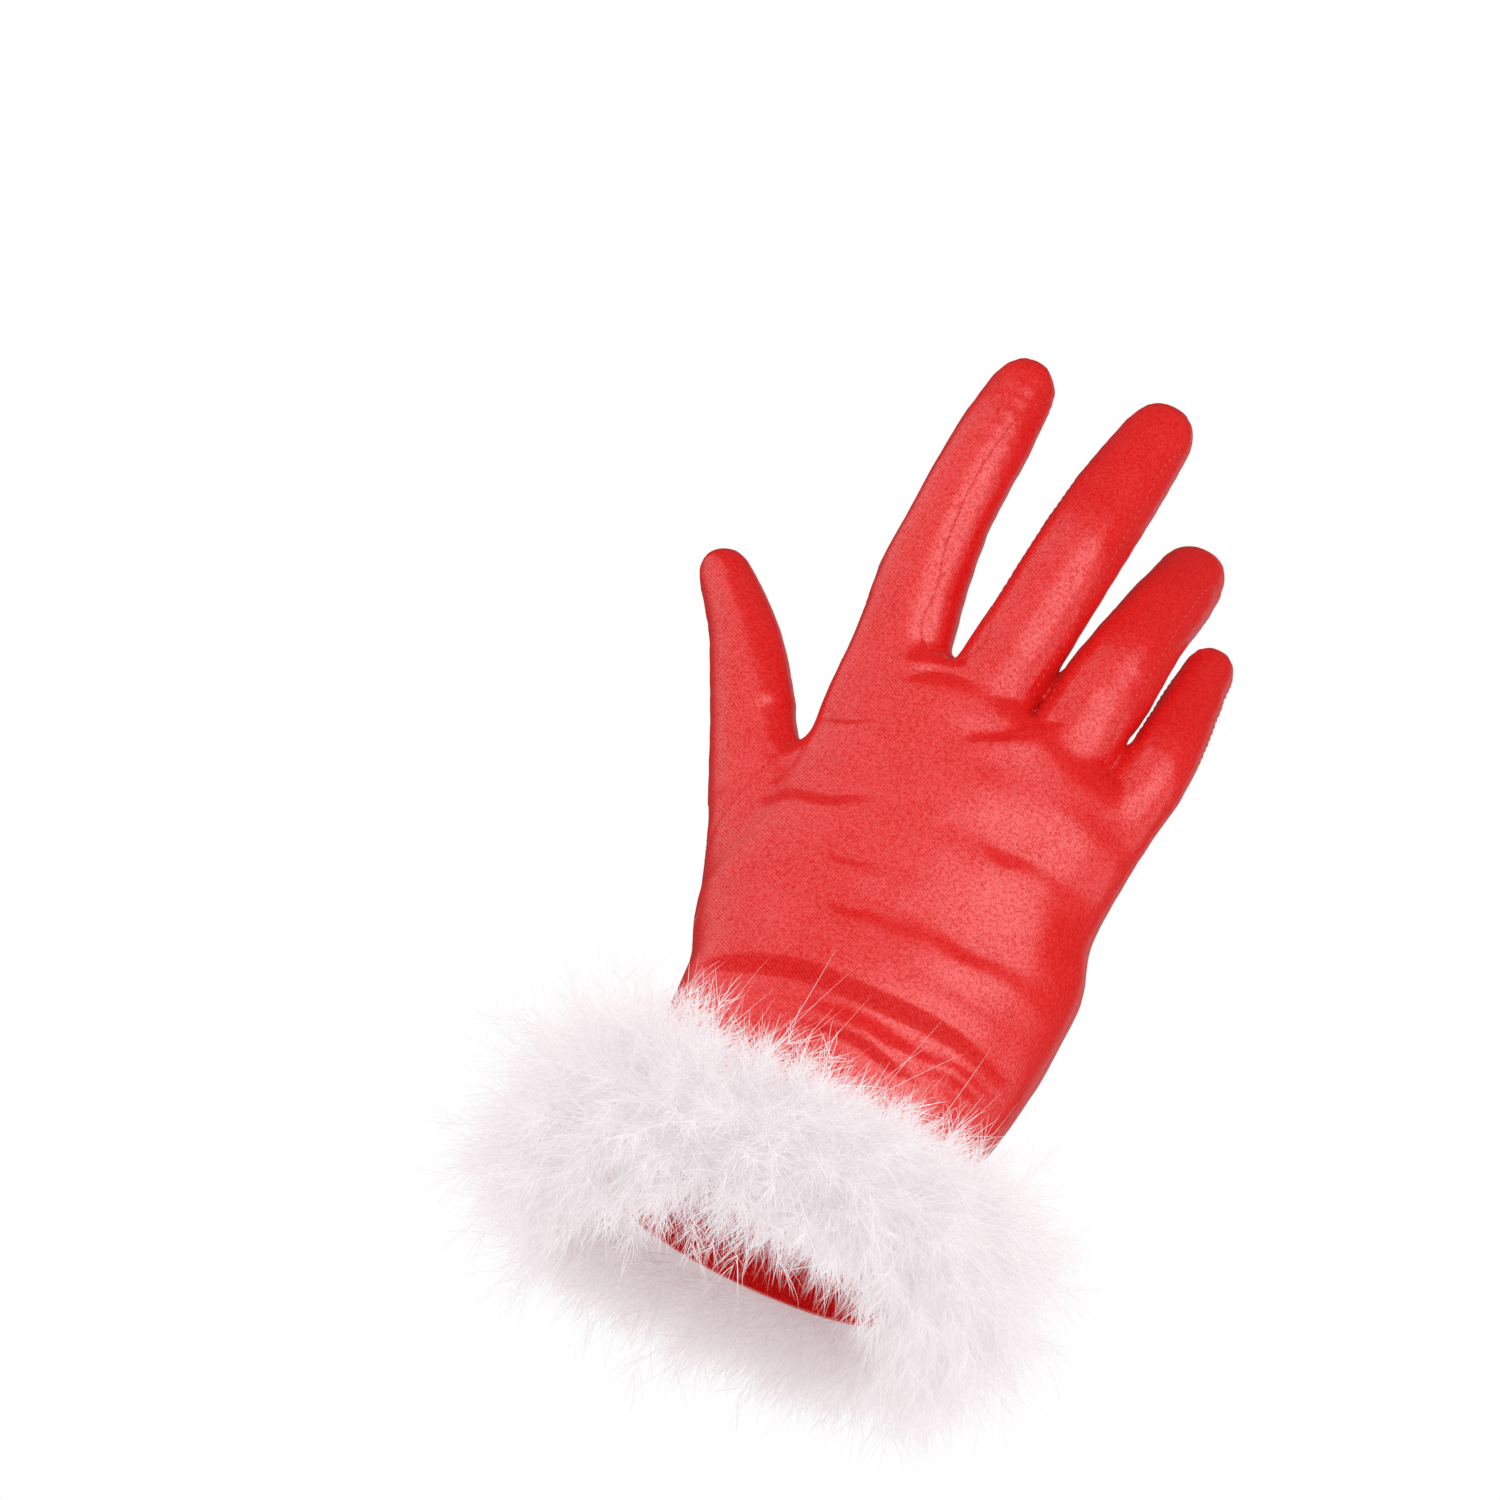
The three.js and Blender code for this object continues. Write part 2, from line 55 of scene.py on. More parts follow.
# The hand from the hem up, in millimetres. tilt is the slope of a section towards the little finger.
HAND_COLUMNS = ("height", "half_width", "half_depth", "centre_x", "centre_y", "tilt")
HAND_ROWS = (
    (-8, 38.2, 26.5, 0, 0, 0),
    (0, 38.2, 26.5, 0, 0, 0),
    (20, 38, 25.8, -0.3, 0, 0),
    (40, 39, 25, -1.3, 0, 0),
    (55, 40.5, 24.5, -0.7, 0.5, 0),
    (65, 42.9, 24, -2.3, 1, 0),
    (78, 44.8, 23, -3.7, 1.5, 0),
    (90, 43.7, 21.8, -3.5, 1.8, -0.02),
    (102, 40.8, 20.2, -3.8, 1.8, -0.06),
    (115, 39.6, 18, -3.6, 1, -0.1),
    (128, 39.4, 14.9, -3.8, 0, -0.18),
    (137, 37.5, 13, -3.8, 0, -0.22),
    (142.5, 32.5, 10.5, -3.5, 0, -0.22),
)

# The middle line of each finger: x, y, z and half width, in millimetres.
PATHS = {
    "index": (
        (-27, 1, 96, 10.5),
        (-32.5, 0.5, 122, 11),
        (-34.1, 0, 147, 11.1),
        (-37, 0, 164.5, 10.6),
        (-38.2, -0.8, 181, 9.5),
        (-38.6, -0.3, 194, 9.3),
        (-38.7, 1.5, 207, 8.9),
        (-38.6, 4.3, 223.7, 7.4),
    ),
    "middle": (
        (-11.5, 0, 118, 11),
        (-10.6, -2.5, 144.2, 10.7),
        (-9.6, -3.2, 161, 10.4),
        (-8.6, -2.4, 182.9, 10.3),
        (-8.1, 2.5, 201.5, 10),
        (-7.4, 6, 213.7, 9.5),
        (-6.4, 10.5, 230.2, 8.3),
    ),
    "ring": (
        (10, 0, 116, 10.2),
        (11, -2.2, 143, 10.2),
        (11.8, 0.5, 157, 10.7),
        (12.5, 3, 169.5, 10),
        (12.9, 7.5, 179.5, 9.5),
        (13.4, 14.5, 192, 9.1),
        (13.5, 24, 206.8, 8.3),
    ),
    "little": (
        (27.5, 1, 98, 8.6),
        (29, 1, 128, 8.1),
        (30.3, 1.2, 142, 8.2),
        (30.1, 4.2, 153.4, 8),
        (29.4, 8.4, 162.7, 7.7),
        (28.6, 13.2, 173.5, 7.2),
        (27.9, 18.5, 184, 6.6),
    ),
    "thumb": (
        (-30, 1, 58, 11.5),
        (-38, 2.5, 80.5, 12.3),
        (-45, 4, 97, 11.8),
        (-52.3, 6, 111, 10.8),
        (-59.7, 8, 123.8, 9.5),
        (-64.3, 10, 131.8, 8.9),
        (-69.5, 12.5, 140, 8),
        (-75.3, 15.5, 147.5, 7.2),
        (-82.4, 18.6, 155.8, 5.8),
    ),
}
FINGER_NAMES = ("index", "middle", "ring", "little")

# Where the back of the hand is evened out over the knuckles: from and to which height, in millimetres, and
# how many times.
KNUCKLE_PASSES = ((96, 152, 60), (102, 148, 80), (108, 145, 60))

# A finger's depth as a share of its width, how square its sections are (2 is round), how long its tip is in
# half widths, how blunt, and which share of that lies before the end of its line.
DEPTH_TO_WIDTH = 0.9
SECTION_POWER = 2.2
DOME_LENGTH = 1.05
DOME_BLUNTNESS = 0.65
DOME_BEHIND_END = 0.4

# Where the two seams of a strip run on a finger, in degrees from the line that faces away from the palm,
# towards the little finger, at shares of the finger's line.
TURN_COLUMNS = ("share", "back", "palm")
SEAM_TURNS = {
    "index_outer": (
        (0.4, 25, 125), (0.53, 19, 125), (0.66, 14, 125), (0.76, 14, 125), (0.86, 22, 125), (1, 45, 118),
    ),
    "middle_inner": ((0, -80, -150), (1, -80, -150)),
    "middle_outer": (
        (0.43, 61, 138), (0.59, 56, 138), (0.75, 50, 138), (0.84, 42, 136), (0.93, 48, 130), (1, 75, 120),
    ),
    "ring_inner": ((0, -80, -150), (1, -80, -150)),
    "ring_outer": (
        (0.39, 46, 130), (0.56, 46, 130), (0.66, 42, 130), (0.81, 40, 130), (0.92, 45, 126), (1, 70, 115),
    ),
    "little_inner": ((0, -78, -150), (1, -78, -150)),
}

# The strip between two fingers: its node, the fingers on both sides, the seam turns on each, and the bottom
# of its seam: x, z and the radius of the turn there.
STRIPS = (
    ("fourchette_index_middle", ("index", "index_outer"), ("middle", "middle_inner"), (-23.6, 147.6, 7.8)),
    ("fourchette_middle_ring", ("middle", "middle_outer"), ("ring", "ring_inner"), (0.9, 147.5, 1.9)),
    ("fourchette_ring_little", ("ring", "ring_outer"), ("little", "little_inner"), (23.2, 139.4, 3.0)),
)

# How far below the gap a strip's seam turns, and over which height it goes over to the seams on the fingers.
WEB_SEAM_BELOW = 3
WEB_BLEND = 18

# The cloth at the bottom of each gap between two fingers, as a soft lump, in millimetres.
WEB_COLUMNS = ("x", "y", "z", "half_width", "half_depth", "half_height")
WEB_ROWS = (
    (-23, 1, 142, 7, 4.5, 7.0),
    (1, 2.5, 144, 4, 3.6, 14),
    (22.3, 2.5, 136, 4, 3.4, 12),
)

# Over which length below its tip a strip narrows to a point, and how far a point may move to lie on a seam.
STRIP_TAPER_AT_TIP = 11
SNAP_REACH = 1.6

# How wide a seam's groove is, and how high, how long and how far beside a seam its puckers are.
GROOVE_WIDTH = 0.9
PUCKER_HEIGHT = 0.07
PUCKER_LENGTH = 6
PUCKER_WIDTH = 3

# Half the width and height of a stitch, and how far it stands over the seam, in millimetres.
STITCH_HALF = (0.15, 0.08)
STITCH_RAISE = 0.06

# The thumb's set-in seam: a point on it, its lean, and how far round the thumb's line its piece reaches.
# Then the seam along its tube, in degrees round it, and where that starts.
THUMB_SEAM_POINT = (-48.3, 0, 98.5)
THUMB_SEAM_LEAN = math.radians(11)
THUMB_PIECE_REACH = 1.55
THUMB_TUBE_SEAM = 102
THUMB_TUBE_SEAM_START = 56

# From and to which height the side seam goes over from the hand's middle plane to the fingers' own.
SIDE_SEAM_BLEND = (100, 130)

# Where the thumb's skin flows into the hand's: a place, how far round it, in millimetres.
THUMB_FLOWS = (((-48, 6, 112), 13), ((-43, 4, 84), 16))
THUMB_FLOW_PASSES = 45

# The loose waves of the cloth: their height and their length, in millimetres. The short ones are calmer on
# the fingers and the thumb's side.
LONG_WAVES = (0.35, 34)
SHORT_WAVES = (0.16, 15)
CALM_SHARE = 0.3
FINGER_WAVE = (0.05, 7.5)

# From and to which height the folds of the hand fade out at the fingers.
FOLDS_END = (138, 152)

# How far the weave's ribs climb for each millimetre across the glove.
WEAVE_LEAN = 0.7

# Folds across the glove: where one starts and ends in x and z, the rise of its ridge and how far that runs
# out, how far off the ridge has dropped and how deep that ends, and the side, -1 for the back and 1 for the
# palm. A fold that starts at the thumb's side drops off downwards, and one that ends there, upwards.
FOLD_COLUMNS = ("from_x", "from_z", "to_x", "to_z", "rise", "above", "below", "depth", "side")
FOLD_ROWS = (
    (-46, 49.5, 33, 56.5, 2.2, 16.0, 5.6, 1.0, -1),
    (-12, 43.5, 22, 42, 1.2, 5.0, 3.6, 0.6, -1),
    (16, 45, 36, 48, 0.8, 3.0, 2.8, 0.4, -1),
    (-42, 45, -26, 43, 0.7, 3.0, 2.8, 0.4, -1),
    (30, 72.5, 6, 71.5, 0.45, 8.0, 6.6, 0.4, -1),
    (-4, 69.5, -20, 69, 0.3, 7.0, 5.4, 0.3, -1),
    (22, 99.5, 4, 98, 0.5, 9.0, 7.0, 0.4, -1),
    (-18, 99, -37, 94, 0.5, 8.0, 5.2, 0.4, -1),
    (-8, 83, -26, 81, 0.28, 5.0, 4.4, 0.25, -1),
    (-33, 136, -9, 146, 0.5, 5.0, 1.9, 0.5, -1),
    (-24, 120.5, -43, 117, 0.4, 5.0, 3.8, 0.35, -1),
    (8, 140, -6, 125, 0.7, 5.0, 2.6, 0.6, -1),
    (24, 128.5, 15, 131, 0.12, 4.0, 2.6, 0.15, -1),
    (-30, 52, 32, 50, 1.5, 4.6, 4.4, 0.8, 1),
    (-10, 62, 34, 66, 1.0, 4.0, 4.0, 0.6, 1),
    (-30, 112, 24, 100, 1.0, 4.4, 4.4, 0.8, 1),
    (-26, 126, 22, 122, 0.8, 4.0, 4.0, 0.6, 1),
    (-22, 72, -8, 104, 0.9, 4.6, 4.6, 0.6, 1),
)

# How far a fold bows out at its middle, as a share of its length, and how far it wavers, in millimetres.
FOLD_BEND = 0.04
FOLD_WAVER = 0.5

# Shallow dents: their middle in x and z, half length, half height, turn in degrees, depth, and the side.
DENT_COLUMNS = ("x", "z", "half_length", "half_height", "turn", "depth", "side")
DENT_ROWS = (
    (20, 66, 10, 4, 4, 0.5, -1),
    (32, 92, 8, 7, 30, 0.6, -1),
    (24, 116, 12, 7, -10, -0.8, -1),
    (-8, 112, 14, 9, 10, -0.5, -1),
    (-16, 80, 10, 6, 0, -0.4, -1),
    (9, 131, 11, 8, -10, -0.4, -1),
    (29, 132, 9, 8, -25, -0.8, -1),
    (-21, 132, 9, 7, 0, -0.6, -1),
    (0, 84, 16, 14, 0, 2.2, 1),
)

# The satin pieces, with the nodes that each takes the place of. The back and the palm run on into the
# fingers in one piece of cloth, where the frame has the fingers as nodes of their own.
FINGER_NODES = tuple(f"{name}_finger" for name in FINGER_NAMES)
SATIN_PIECES = (
    ("thumb", ("thumb",)),
    ("fourchette_index_middle", ("fourchette_index_middle",)),
    ("fourchette_middle_ring", ("fourchette_middle_ring",)),
    ("fourchette_ring_little", ("fourchette_ring_little",)),
    ("palm_panel", ("palm_panel", *FINGER_NODES)),
    ("back_panel", ("back_panel", *FINGER_NODES)),
)

# The trim's middle line: its height over the hem, and its rise towards the little finger's side. Then how
# far the feathers reach from the cuff, in degrees from the little finger's side towards the palm, with how
# far they hang at their ends, and the share of that reach that they stand up and down.
TRIM_MIDDLE = 8
TRIM_RISE = 0.06
CORD_RADIUS = 5
TRIM_COLUMNS = ("degrees", "reach", "droop", "upright")
TRIM_ROWS = (
    (0, 41, 3, 0.95),
    (60, 38, 2, 0.8),
    (120, 37, 2, 0.95),
    (180, 37, 5, 1.3),
    (210, 38, 4, 1.12),
    (240, 38, 2, 0.84),
    (300, 38, 2, 0.68),
    (360, 41, 3, 0.95),
)

# The core is a tube of radius 1 spun in a ring of radius CORE_TURN, then drawn out: its lumps' height and
# length at that size, its half thickness as a share of the reach, its half height and its gap to the satin.
CORE_TURN = 3
CORE_LUMPS = (0.13, 0.9)
CORE_THICKNESS = 0.16
CORE_HEIGHT = 11
CORE_GAP = 0.5

# How many pieces the feathers are split into, and how long the shafts of the feathers, of the wisps all
# round and of the strays over the satin are, as shares of the trim's reach. Then how many wisps there are
# to one stray, and from which sides and at which slants the strays leave the cord, in degrees.
PLUME_PARTS = 4
PLUME_STRETCH = 0.78
WISP_STRETCH = 1.06
STRAY_STRETCH = 1.5
WISPS_PER_STRAY = 12
STRAY_SIDES = (215, 345)
STRAY_SLANTS = (62, 100)

# How many points a shaft has, and the least and the most of its length, curl and droop, as shares. Then
# the same of a strand's lean, length and width, and its width at each of its points.
SHAFT_STEPS = 12
SHAFT_LENGTHS = (0.55, 1.0)
SHAFT_CURLS = (0.1, 0.45)
SHAFT_DROOPS = (0.3, 1.1)
BARB_LEANS = (0.8, 1.6)
BARB_LENGTHS = (0.5, 1.15)
BARB_WIDTHS = (0.7, 1.2)
BARB_TAPER = (1.0, 0.95, 0.8, 0.55, 0.0)

# The view: a mark on the wrist, and how far the picture's middle lies from it to the left and up, in
# millimetres. The lights' places are from the glove's middle, in metres, as are the sizes of the lamps and
# the floor. The upper edge of the wall in the satin's shine is measured along WALL_TOP.
WRIST_MARK = (0, 0, 50)
VIEW_SHIFT = (52, 48.5)
GLOVE_MIDDLE = (0, 0, 110)
KEY_PLACE = (0.52, -1.25, 0.65)
REAR_PLACE = (0.3, 1.5, 0.9)
WALL_TOP = (0.1, 0.35, 0.93)
LAMP_SIZE = 1.6
FLOOR_HALF = 5
FLOOR_DEPTH = 3.2
SENSOR_WIDTH = 36


def length_prop(name, description, default):
    """A length, in metres."""
    return bpy.props.FloatProperty(name=name, description=description, default=default, unit="LENGTH")


def angle_prop(name, description, degrees):
    """An angle, given in degrees."""
    return bpy.props.FloatProperty(
        name=name, description=description, default=math.radians(degrees), subtype="ANGLE"
    )


def colour_prop(name, description, default):
    """A colour."""
    return bpy.props.FloatVectorProperty(
        name=name, description=description, default=default, subtype="COLOR"
    )


def count_prop(name, description, default):
    """A whole number."""
    return bpy.props.IntProperty(name=name, description=description, default=default)


class SatinSettings(bpy.types.PropertyGroup):
    """Sizes and colours of the satin."""

    slack: length_prop("Slack", "Grown after remeshing, so close fingers stay apart", 1.3 * MM)
    grid: length_prop("Grid", "Size of the faces of the satin", 1.15 * MM)
    wall: length_prop("Wall", "Thickness of the satin", 1.1 * MM)
    groove: length_prop("Seam groove", "How far a seam sinks in", 0.2 * MM)
    twill_pitch: length_prop("Weave pitch", "Distance between ribs of the weave", 0.75 * MM)
    colour: colour_prop("Satin", "Colour of the satin", (0.84, 0.011, 0.0095))
    roughness: bpy.props.FloatProperty(
        name="Roughness", description="Softness of the satin's shine", default=0.22, subtype="FACTOR"
    )
    stitch_length: length_prop("Stitch", "Length of one stitch", 1.5 * MM)
    stitch_pitch: length_prop("Stitch pitch", "Distance from stitch to stitch", 2.3 * MM)


class MarabouSettings(bpy.types.PropertyGroup):
    """Sizes and colours of the feather trim."""

    plumes: count_prop("Plumes", "Number of feathers round the wrist", 1640)
    barbs: count_prop("Barbs", "Number of strands on each feather", 62)
    wisps: count_prop("Wisps", "Number of long stray strands", 900)
    barb_length: length_prop("Barb length", "Length of a strand", 18 * MM)
    barb_width: length_prop("Barb width", "Thickness of a strand", 0.16 * MM)
    colour: colour_prop("Marabou", "Colour of the feathers", (0.97, 0.945, 0.95))
    # A painted glow: the down's emission stands in for the light that it scatters inside itself.
    painted_inner_glow: bpy.props.FloatProperty(
        name="Inner light", description="Light that the down scatters inside itself", default=0.12
    )
    seed: count_prop("Seed", "Changes how the feathers fall", 7)


class StageSettings(bpy.types.PropertyGroup):
    """The camera and the light."""

    azimuth: angle_prop("Azimuth", "Direction of view", 10)
    elevation: angle_prop("Elevation", "Height of view", -25)
    roll: angle_prop("Roll", "Lean of the hand to the right", 29)
    distance: length_prop("Distance", "From the camera to the glove", 3.0)
    span: length_prop("Span", "Width of the picture at the glove", 333.3 * MM)
    key_watts: bpy.props.FloatProperty(name="Key", description="Power of the softbox", default=3.1)
    ambient: bpy.props.FloatProperty(name="Ambient", description="Light from all round", default=1.04)
    mirrored: bpy.props.FloatVectorProperty(
        name="Mirrored", description="The dark room, its pale wall and the key in the satin's shine",
        size=3, default=(0.015, 0.97, 1.2),
    )


def table(columns, rows):
    """Rows of numbers as one array for each named column."""
    return {name: np.array([row[i] for row in rows], float) for i, name in enumerate(columns)}


def smooth_between(keys, values, at):
    """A column's value between the rows of a table, smooth through each row."""
    last = len(keys) - 1
    i = np.clip(np.searchsorted(keys, at, side="right") - 1, 0, last - 1)
    t = np.clip((at - keys[i]) / (keys[i + 1] - keys[i]), 0, 1)
    here, after = values[i], values[i + 1]
    slope_in = (after - values[np.maximum(i - 1, 0)]) / 2
    slope_out = (values[np.minimum(i + 2, last)] - here) / 2
    rise = after - here
    cubic = slope_in + slope_out - 2 * rise
    return here + slope_in * t + (3 * rise - 2 * slope_in - slope_out) * t * t + cubic * t * t * t


def unit(vectors):
    return vectors / np.maximum(np.linalg.norm(vectors, axis=-1, keepdims=True), 1e-12)


def smoothstep(low, high, value):
    t = np.clip((value - low) / (high - low), 0, 1)
    return t * t * (3 - 2 * t)


def calm(work, verts, passes, axes="xyz"):
    """Evens points out between their neighbours, along the named axes."""
    along = {f"use_axis_{axis}": axis in axes for axis in "xyz"}
    for _ in range(passes):
        bmesh.ops.smooth_vert(work, verts=verts, factor=0.5, **along)


def opened(mesh):
    """A mesh opened for modelling."""
    work = bmesh.new()
    work.from_mesh(mesh)
    return work


def mesh_from(work, name):
    """A smooth mesh of what has been modelled."""
    mesh = bpy.data.meshes.new(name)
    work.to_mesh(mesh)
    work.free()
    mesh.shade_smooth()
    return mesh


class FingerLine:
    """The middle line of a finger, with its directions and half widths, in metres."""

    STEPS = 24

    def __init__(self, name):
        rows = np.array(PATHS[name], float)
        keys = np.arange(len(rows), dtype=float)
        at = np.linspace(0, len(rows) - 1, self.STEPS * (len(rows) - 1) + 1)
        columns = [smooth_between(keys, rows[:, i], at) for i in range(4)]
        self.name = name
        self.points = np.stack(columns[:3], axis=1) * MM
        self.half = columns[3] * MM
        self.ahead = unit(np.gradient(self.points, axis=0))
        steps = np.linalg.norm(np.diff(self.points, axis=0), axis=1)
        self.along = np.concatenate([[0], np.cumsum(steps)])
        self.length = self.along[-1]
        sideways = np.array([1.0, 0, 0]) - self.ahead[:, :1] * self.ahead
        self.across = unit(sideways)
        self.facing = np.cross(self.across, self.ahead)

    def station(self, along):
        """The middle, directions and half width at a distance along the line."""
        inside = min(max(along, 0.0), self.length)
        pick = [
            np.array([np.interp(inside, self.along, block[:, k]) for k in range(3)])
            for block in (self.points, self.ahead, self.across, self.facing)
        ]
        middle = pick[0] + pick[1] * (along - inside)
        return middle, pick[2], pick[3], float(np.interp(inside, self.along, self.half))

    def local(self, points):
        """Distance along the line, turn in degrees to the little finger's side, and distance from it."""
        nearest = np.empty(len(points), int)
        for start in range(0, len(points), 20000):
            block = points[start : start + 20000]
            gaps = ((block[:, None, :] - self.points[None, :, :]) ** 2).sum(axis=2)
            nearest[start : start + 20000] = gaps.argmin(axis=1)
        away = points - self.points[nearest]
        past = (away * self.ahead[nearest]).sum(axis=1)
        side = (away * self.across[nearest]).sum(axis=1)
        face = (away * self.facing[nearest]).sum(axis=1)
        turn = np.degrees(np.arctan2(side, face / DEPTH_TO_WIDTH))
        radius = np.hypot(side, face)
        return {
            "along": self.along[nearest] + past,
            "turn": turn,
            "radius": radius,
            "share": radius / self.half[nearest],
            "face": face,
        }


LINES = {name: FingerLine(name) for name in PATHS}


def section_point(angle):
    """A point on a rounded section of half size 1."""
    c, s = math.cos(angle), math.sin(angle)
    power = 2 / SECTION_POWER
    return math.copysign(abs(c) ** power, c), math.copysign(abs(s) ** power, s)


def ring_of(vert, rings):
    """Which ring of a sphere of radius 1 a point is on, counted from the bottom."""
    return round((1 - math.acos(max(-1.0, min(1.0, vert.co.z))) / math.pi) * rings)


def add_finger(mesh, line, slack):
    """Adds a closed tube with a round tip along a finger's line, as a sphere drawn out to its sections."""
    rings, dome_rings = 56, 14
    made = bmesh.ops.create_uvsphere(mesh, u_segments=48, v_segments=rings, radius=1)["verts"]
    dome = line.half[-1] * DOME_LENGTH
    dome_start = line.length - dome * DOME_BEHIND_END
    for vert in made:
        ring = ring_of(vert, rings)
        angle = math.atan2(vert.co.y, vert.co.x)
        along, size = dome_start * ring / (rings - dome_rings), 1.0
        if ring > rings - dome_rings:
            bend = (ring - rings + dome_rings) / dome_rings * math.pi / 2
            along = dome_start + (dome - slack) * math.sin(bend)
            size = math.cos(bend) ** DOME_BLUNTNESS
        if ring in (0, rings):
            size = 0.0
        middle, across, facing, half = line.station(along)
        side, up = section_point(angle)
        wide, deep = (half - slack) * size, (half * DEPTH_TO_WIDTH - slack) * size
        vert.co = middle + across * side * wide + facing * up * deep


def add_hand(mesh, slack):
    """Adds the closed body of the hand, from below the hem to the roots of the fingers."""
    hand = table(HAND_COLUMNS, HAND_ROWS)
    rings = 90
    made = bmesh.ops.create_uvsphere(mesh, u_segments=128, v_segments=rings, radius=1)["verts"]
    low, high = hand["height"][0], hand["height"][-1]
    for vert in made:
        ring = ring_of(vert, rings)
        side, up = section_point(math.atan2(vert.co.y, vert.co.x))
        size = 0.0 if ring in (0, rings) else 1.0
        height = low + (high - low) * ring / rings
        row = {key: float(smooth_between(hand["height"], hand[key], height)) for key in HAND_COLUMNS[1:]}
        x = row["centre_x"] * MM + side * size * (row["half_width"] * MM - slack)
        y = row["centre_y"] * MM - up * size * (row["half_depth"] * MM - slack)
        vert.co = Vector((x, y, height * MM + row["tilt"] * x - slack * ring / rings))


def add_webs(mesh):
    """Adds the soft bottoms of the gaps between the fingers."""
    for row in WEB_ROWS:
        web = dict(zip(WEB_COLUMNS, row))
        size = Matrix.Diagonal((web["half_width"] * MM, web["half_depth"] * MM, web["half_height"] * MM, 1))
        place = Matrix.Translation(Vector((web["x"], web["y"], web["z"])) * MM)
        bmesh.ops.create_uvsphere(mesh, u_segments=32, v_segments=20, radius=1, matrix=place @ size)


def fields(points):
    """Signed distances to the seams: thumb, three strips, and palm side, each positive on its own piece."""
    local = {name: LINES[name].local(points) for name in PATHS}
    nearest = np.argmin([local[name]["share"] for name in FINGER_NAMES], axis=0)
    x, y, z = points.T
    out = np.full((5, len(points)), -1.0)

    thumb = local["thumb"]
    normal = np.array([-math.cos(THUMB_SEAM_LEAN), 0, math.sin(THUMB_SEAM_LEAN)])
    plane = (points - np.array(THUMB_SEAM_POINT) * MM) @ normal
    near = (THUMB_PIECE_REACH - thumb["share"]) * 10 * MM
    out[0] = np.minimum(plane, near)

    for i, (_, low, high, (web_x, web_z, web_radius)) in enumerate(STRIPS):
        angular = np.full(len(points), -1.0)
        for name, turns in (low, high):
            here, line = local[name], LINES[name]
            turn = table(TURN_COLUMNS, SEAM_TURNS[turns])
            share = here["along"] / line.length
            back = np.interp(share, turn["share"], turn["back"])
            palm = np.interp(share, turn["share"], turn["palm"])
            left = (line.length - here["along"]) / (STRIP_TAPER_AT_TIP * MM)
            half = np.abs(palm - back) / 2 * np.clip(left, -0.2, 1)
            off = np.abs((here["turn"] - (back + palm) / 2 + 180) % 360 - 180)
            inside = np.radians(half - off) * here["radius"]
            mine = nearest == FINGER_NAMES.index(name)
            angular = np.where(mine, np.maximum(angular, inside), angular)
        round_z = (web_z - WEB_SEAM_BELOW + web_radius) * MM
        u_shape = web_radius * MM - np.hypot(x - web_x * MM, np.minimum(0, z - round_z))
        blend = smoothstep(round_z, round_z + WEB_BLEND * MM, z)
        out[1 + i] = u_shape * (1 - blend) + angular * blend

    face = np.choose(nearest, [local[name]["face"] for name in FINGER_NAMES])
    blend = smoothstep(SIDE_SEAM_BLEND[0] * MM, SIDE_SEAM_BLEND[1] * MM, z)
    out[4] = y * (1 - blend) - face * blend
    thumb_side = (thumb["share"] < 1.3) & (plane > -6 * MM)
    out[4] = np.where(thumb_side, -thumb["face"], out[4])
    return out


def piece_of(field_values):
    """Which satin piece each point is on, as a place in SATIN_PIECES."""
    piece = np.where(field_values[4] > 0, 4, 5)
    for i in (3, 2, 1, 0):
        piece = np.where(field_values[i] > 0, i, piece)
    return piece


def vertex_arrays(mesh):
    """The places of a mesh's points, and the directions out of it there."""
    arrays = np.empty((2, len(mesh.vertices) * 3))
    for name, flat in zip(("co", "normal"), arrays):
        mesh.vertices.foreach_get(name, flat)
    return arrays.reshape(2, -1, 3)


def set_vertices(mesh, points):
    mesh.vertices.foreach_set("co", np.ascontiguousarray(points).ravel())
    mesh.update()


def fold_push(fold, x, z):
    """How far one fold pushes the cloth out: a bent, wavering ridge that drops off steeply on one side."""
    run_x, run_z = fold["to_x"] - fold["from_x"], fold["to_z"] - fold["from_z"]
    length = math.hypot(run_x, run_z)
    from_x, from_z = x / MM - fold["from_x"], z / MM - fold["from_z"]
    along = (from_x * run_x + from_z * run_z) / length**2
    off = (from_z * run_x - from_x * run_z) / length
    past = np.maximum(0, np.maximum(-along, along - 1)) * length / (fold["below"] * 2)
    middle = np.sin(np.clip(along, 0, 1) * math.pi)
    fade = np.exp(-past * past) * (0.4 + 0.6 * middle)
    off = off - FOLD_BEND * length * middle + FOLD_WAVER * np.sin(along * 9 + from_x * 0.05)
    ridge = fold["rise"] * np.exp(-((off / fold["above"]) ** 2))
    under = -off / fold["below"]
    drop = fold["rise"] - (fold["rise"] + fold["depth"]) * smoothstep(0, 1, under)
    drop = np.where(under > 1, -fold["depth"] * np.exp(-(((under - 1) / 1.5) ** 2)), drop)
    return fade * np.where(off > 0, ridge, drop)


def dent_push(dent, x, z):
    """How far one dent pulls the cloth in."""
    turn = math.radians(dent["turn"])
    off_x, off_z = x / MM - dent["x"], z / MM - dent["z"]
    along = (off_x * math.cos(turn) + off_z * math.sin(turn)) / dent["half_length"]
    across = (off_z * math.cos(turn) - off_x * math.sin(turn)) / dent["half_height"]
    return -dent["depth"] * np.exp(-(along**2) - across**2)


def fold_offset(x, z, side):
    """How far the folds and dents of one side push the cloth in or out."""
    total = np.zeros_like(x)
    for columns, rows, push in ((FOLD_COLUMNS, FOLD_ROWS, fold_push), (DENT_COLUMNS, DENT_ROWS, dent_push)):
        for row in rows:
            shape = dict(zip(columns, row))
            if shape["side"] == side:
                total += push(shape, x, z)
    return total * MM


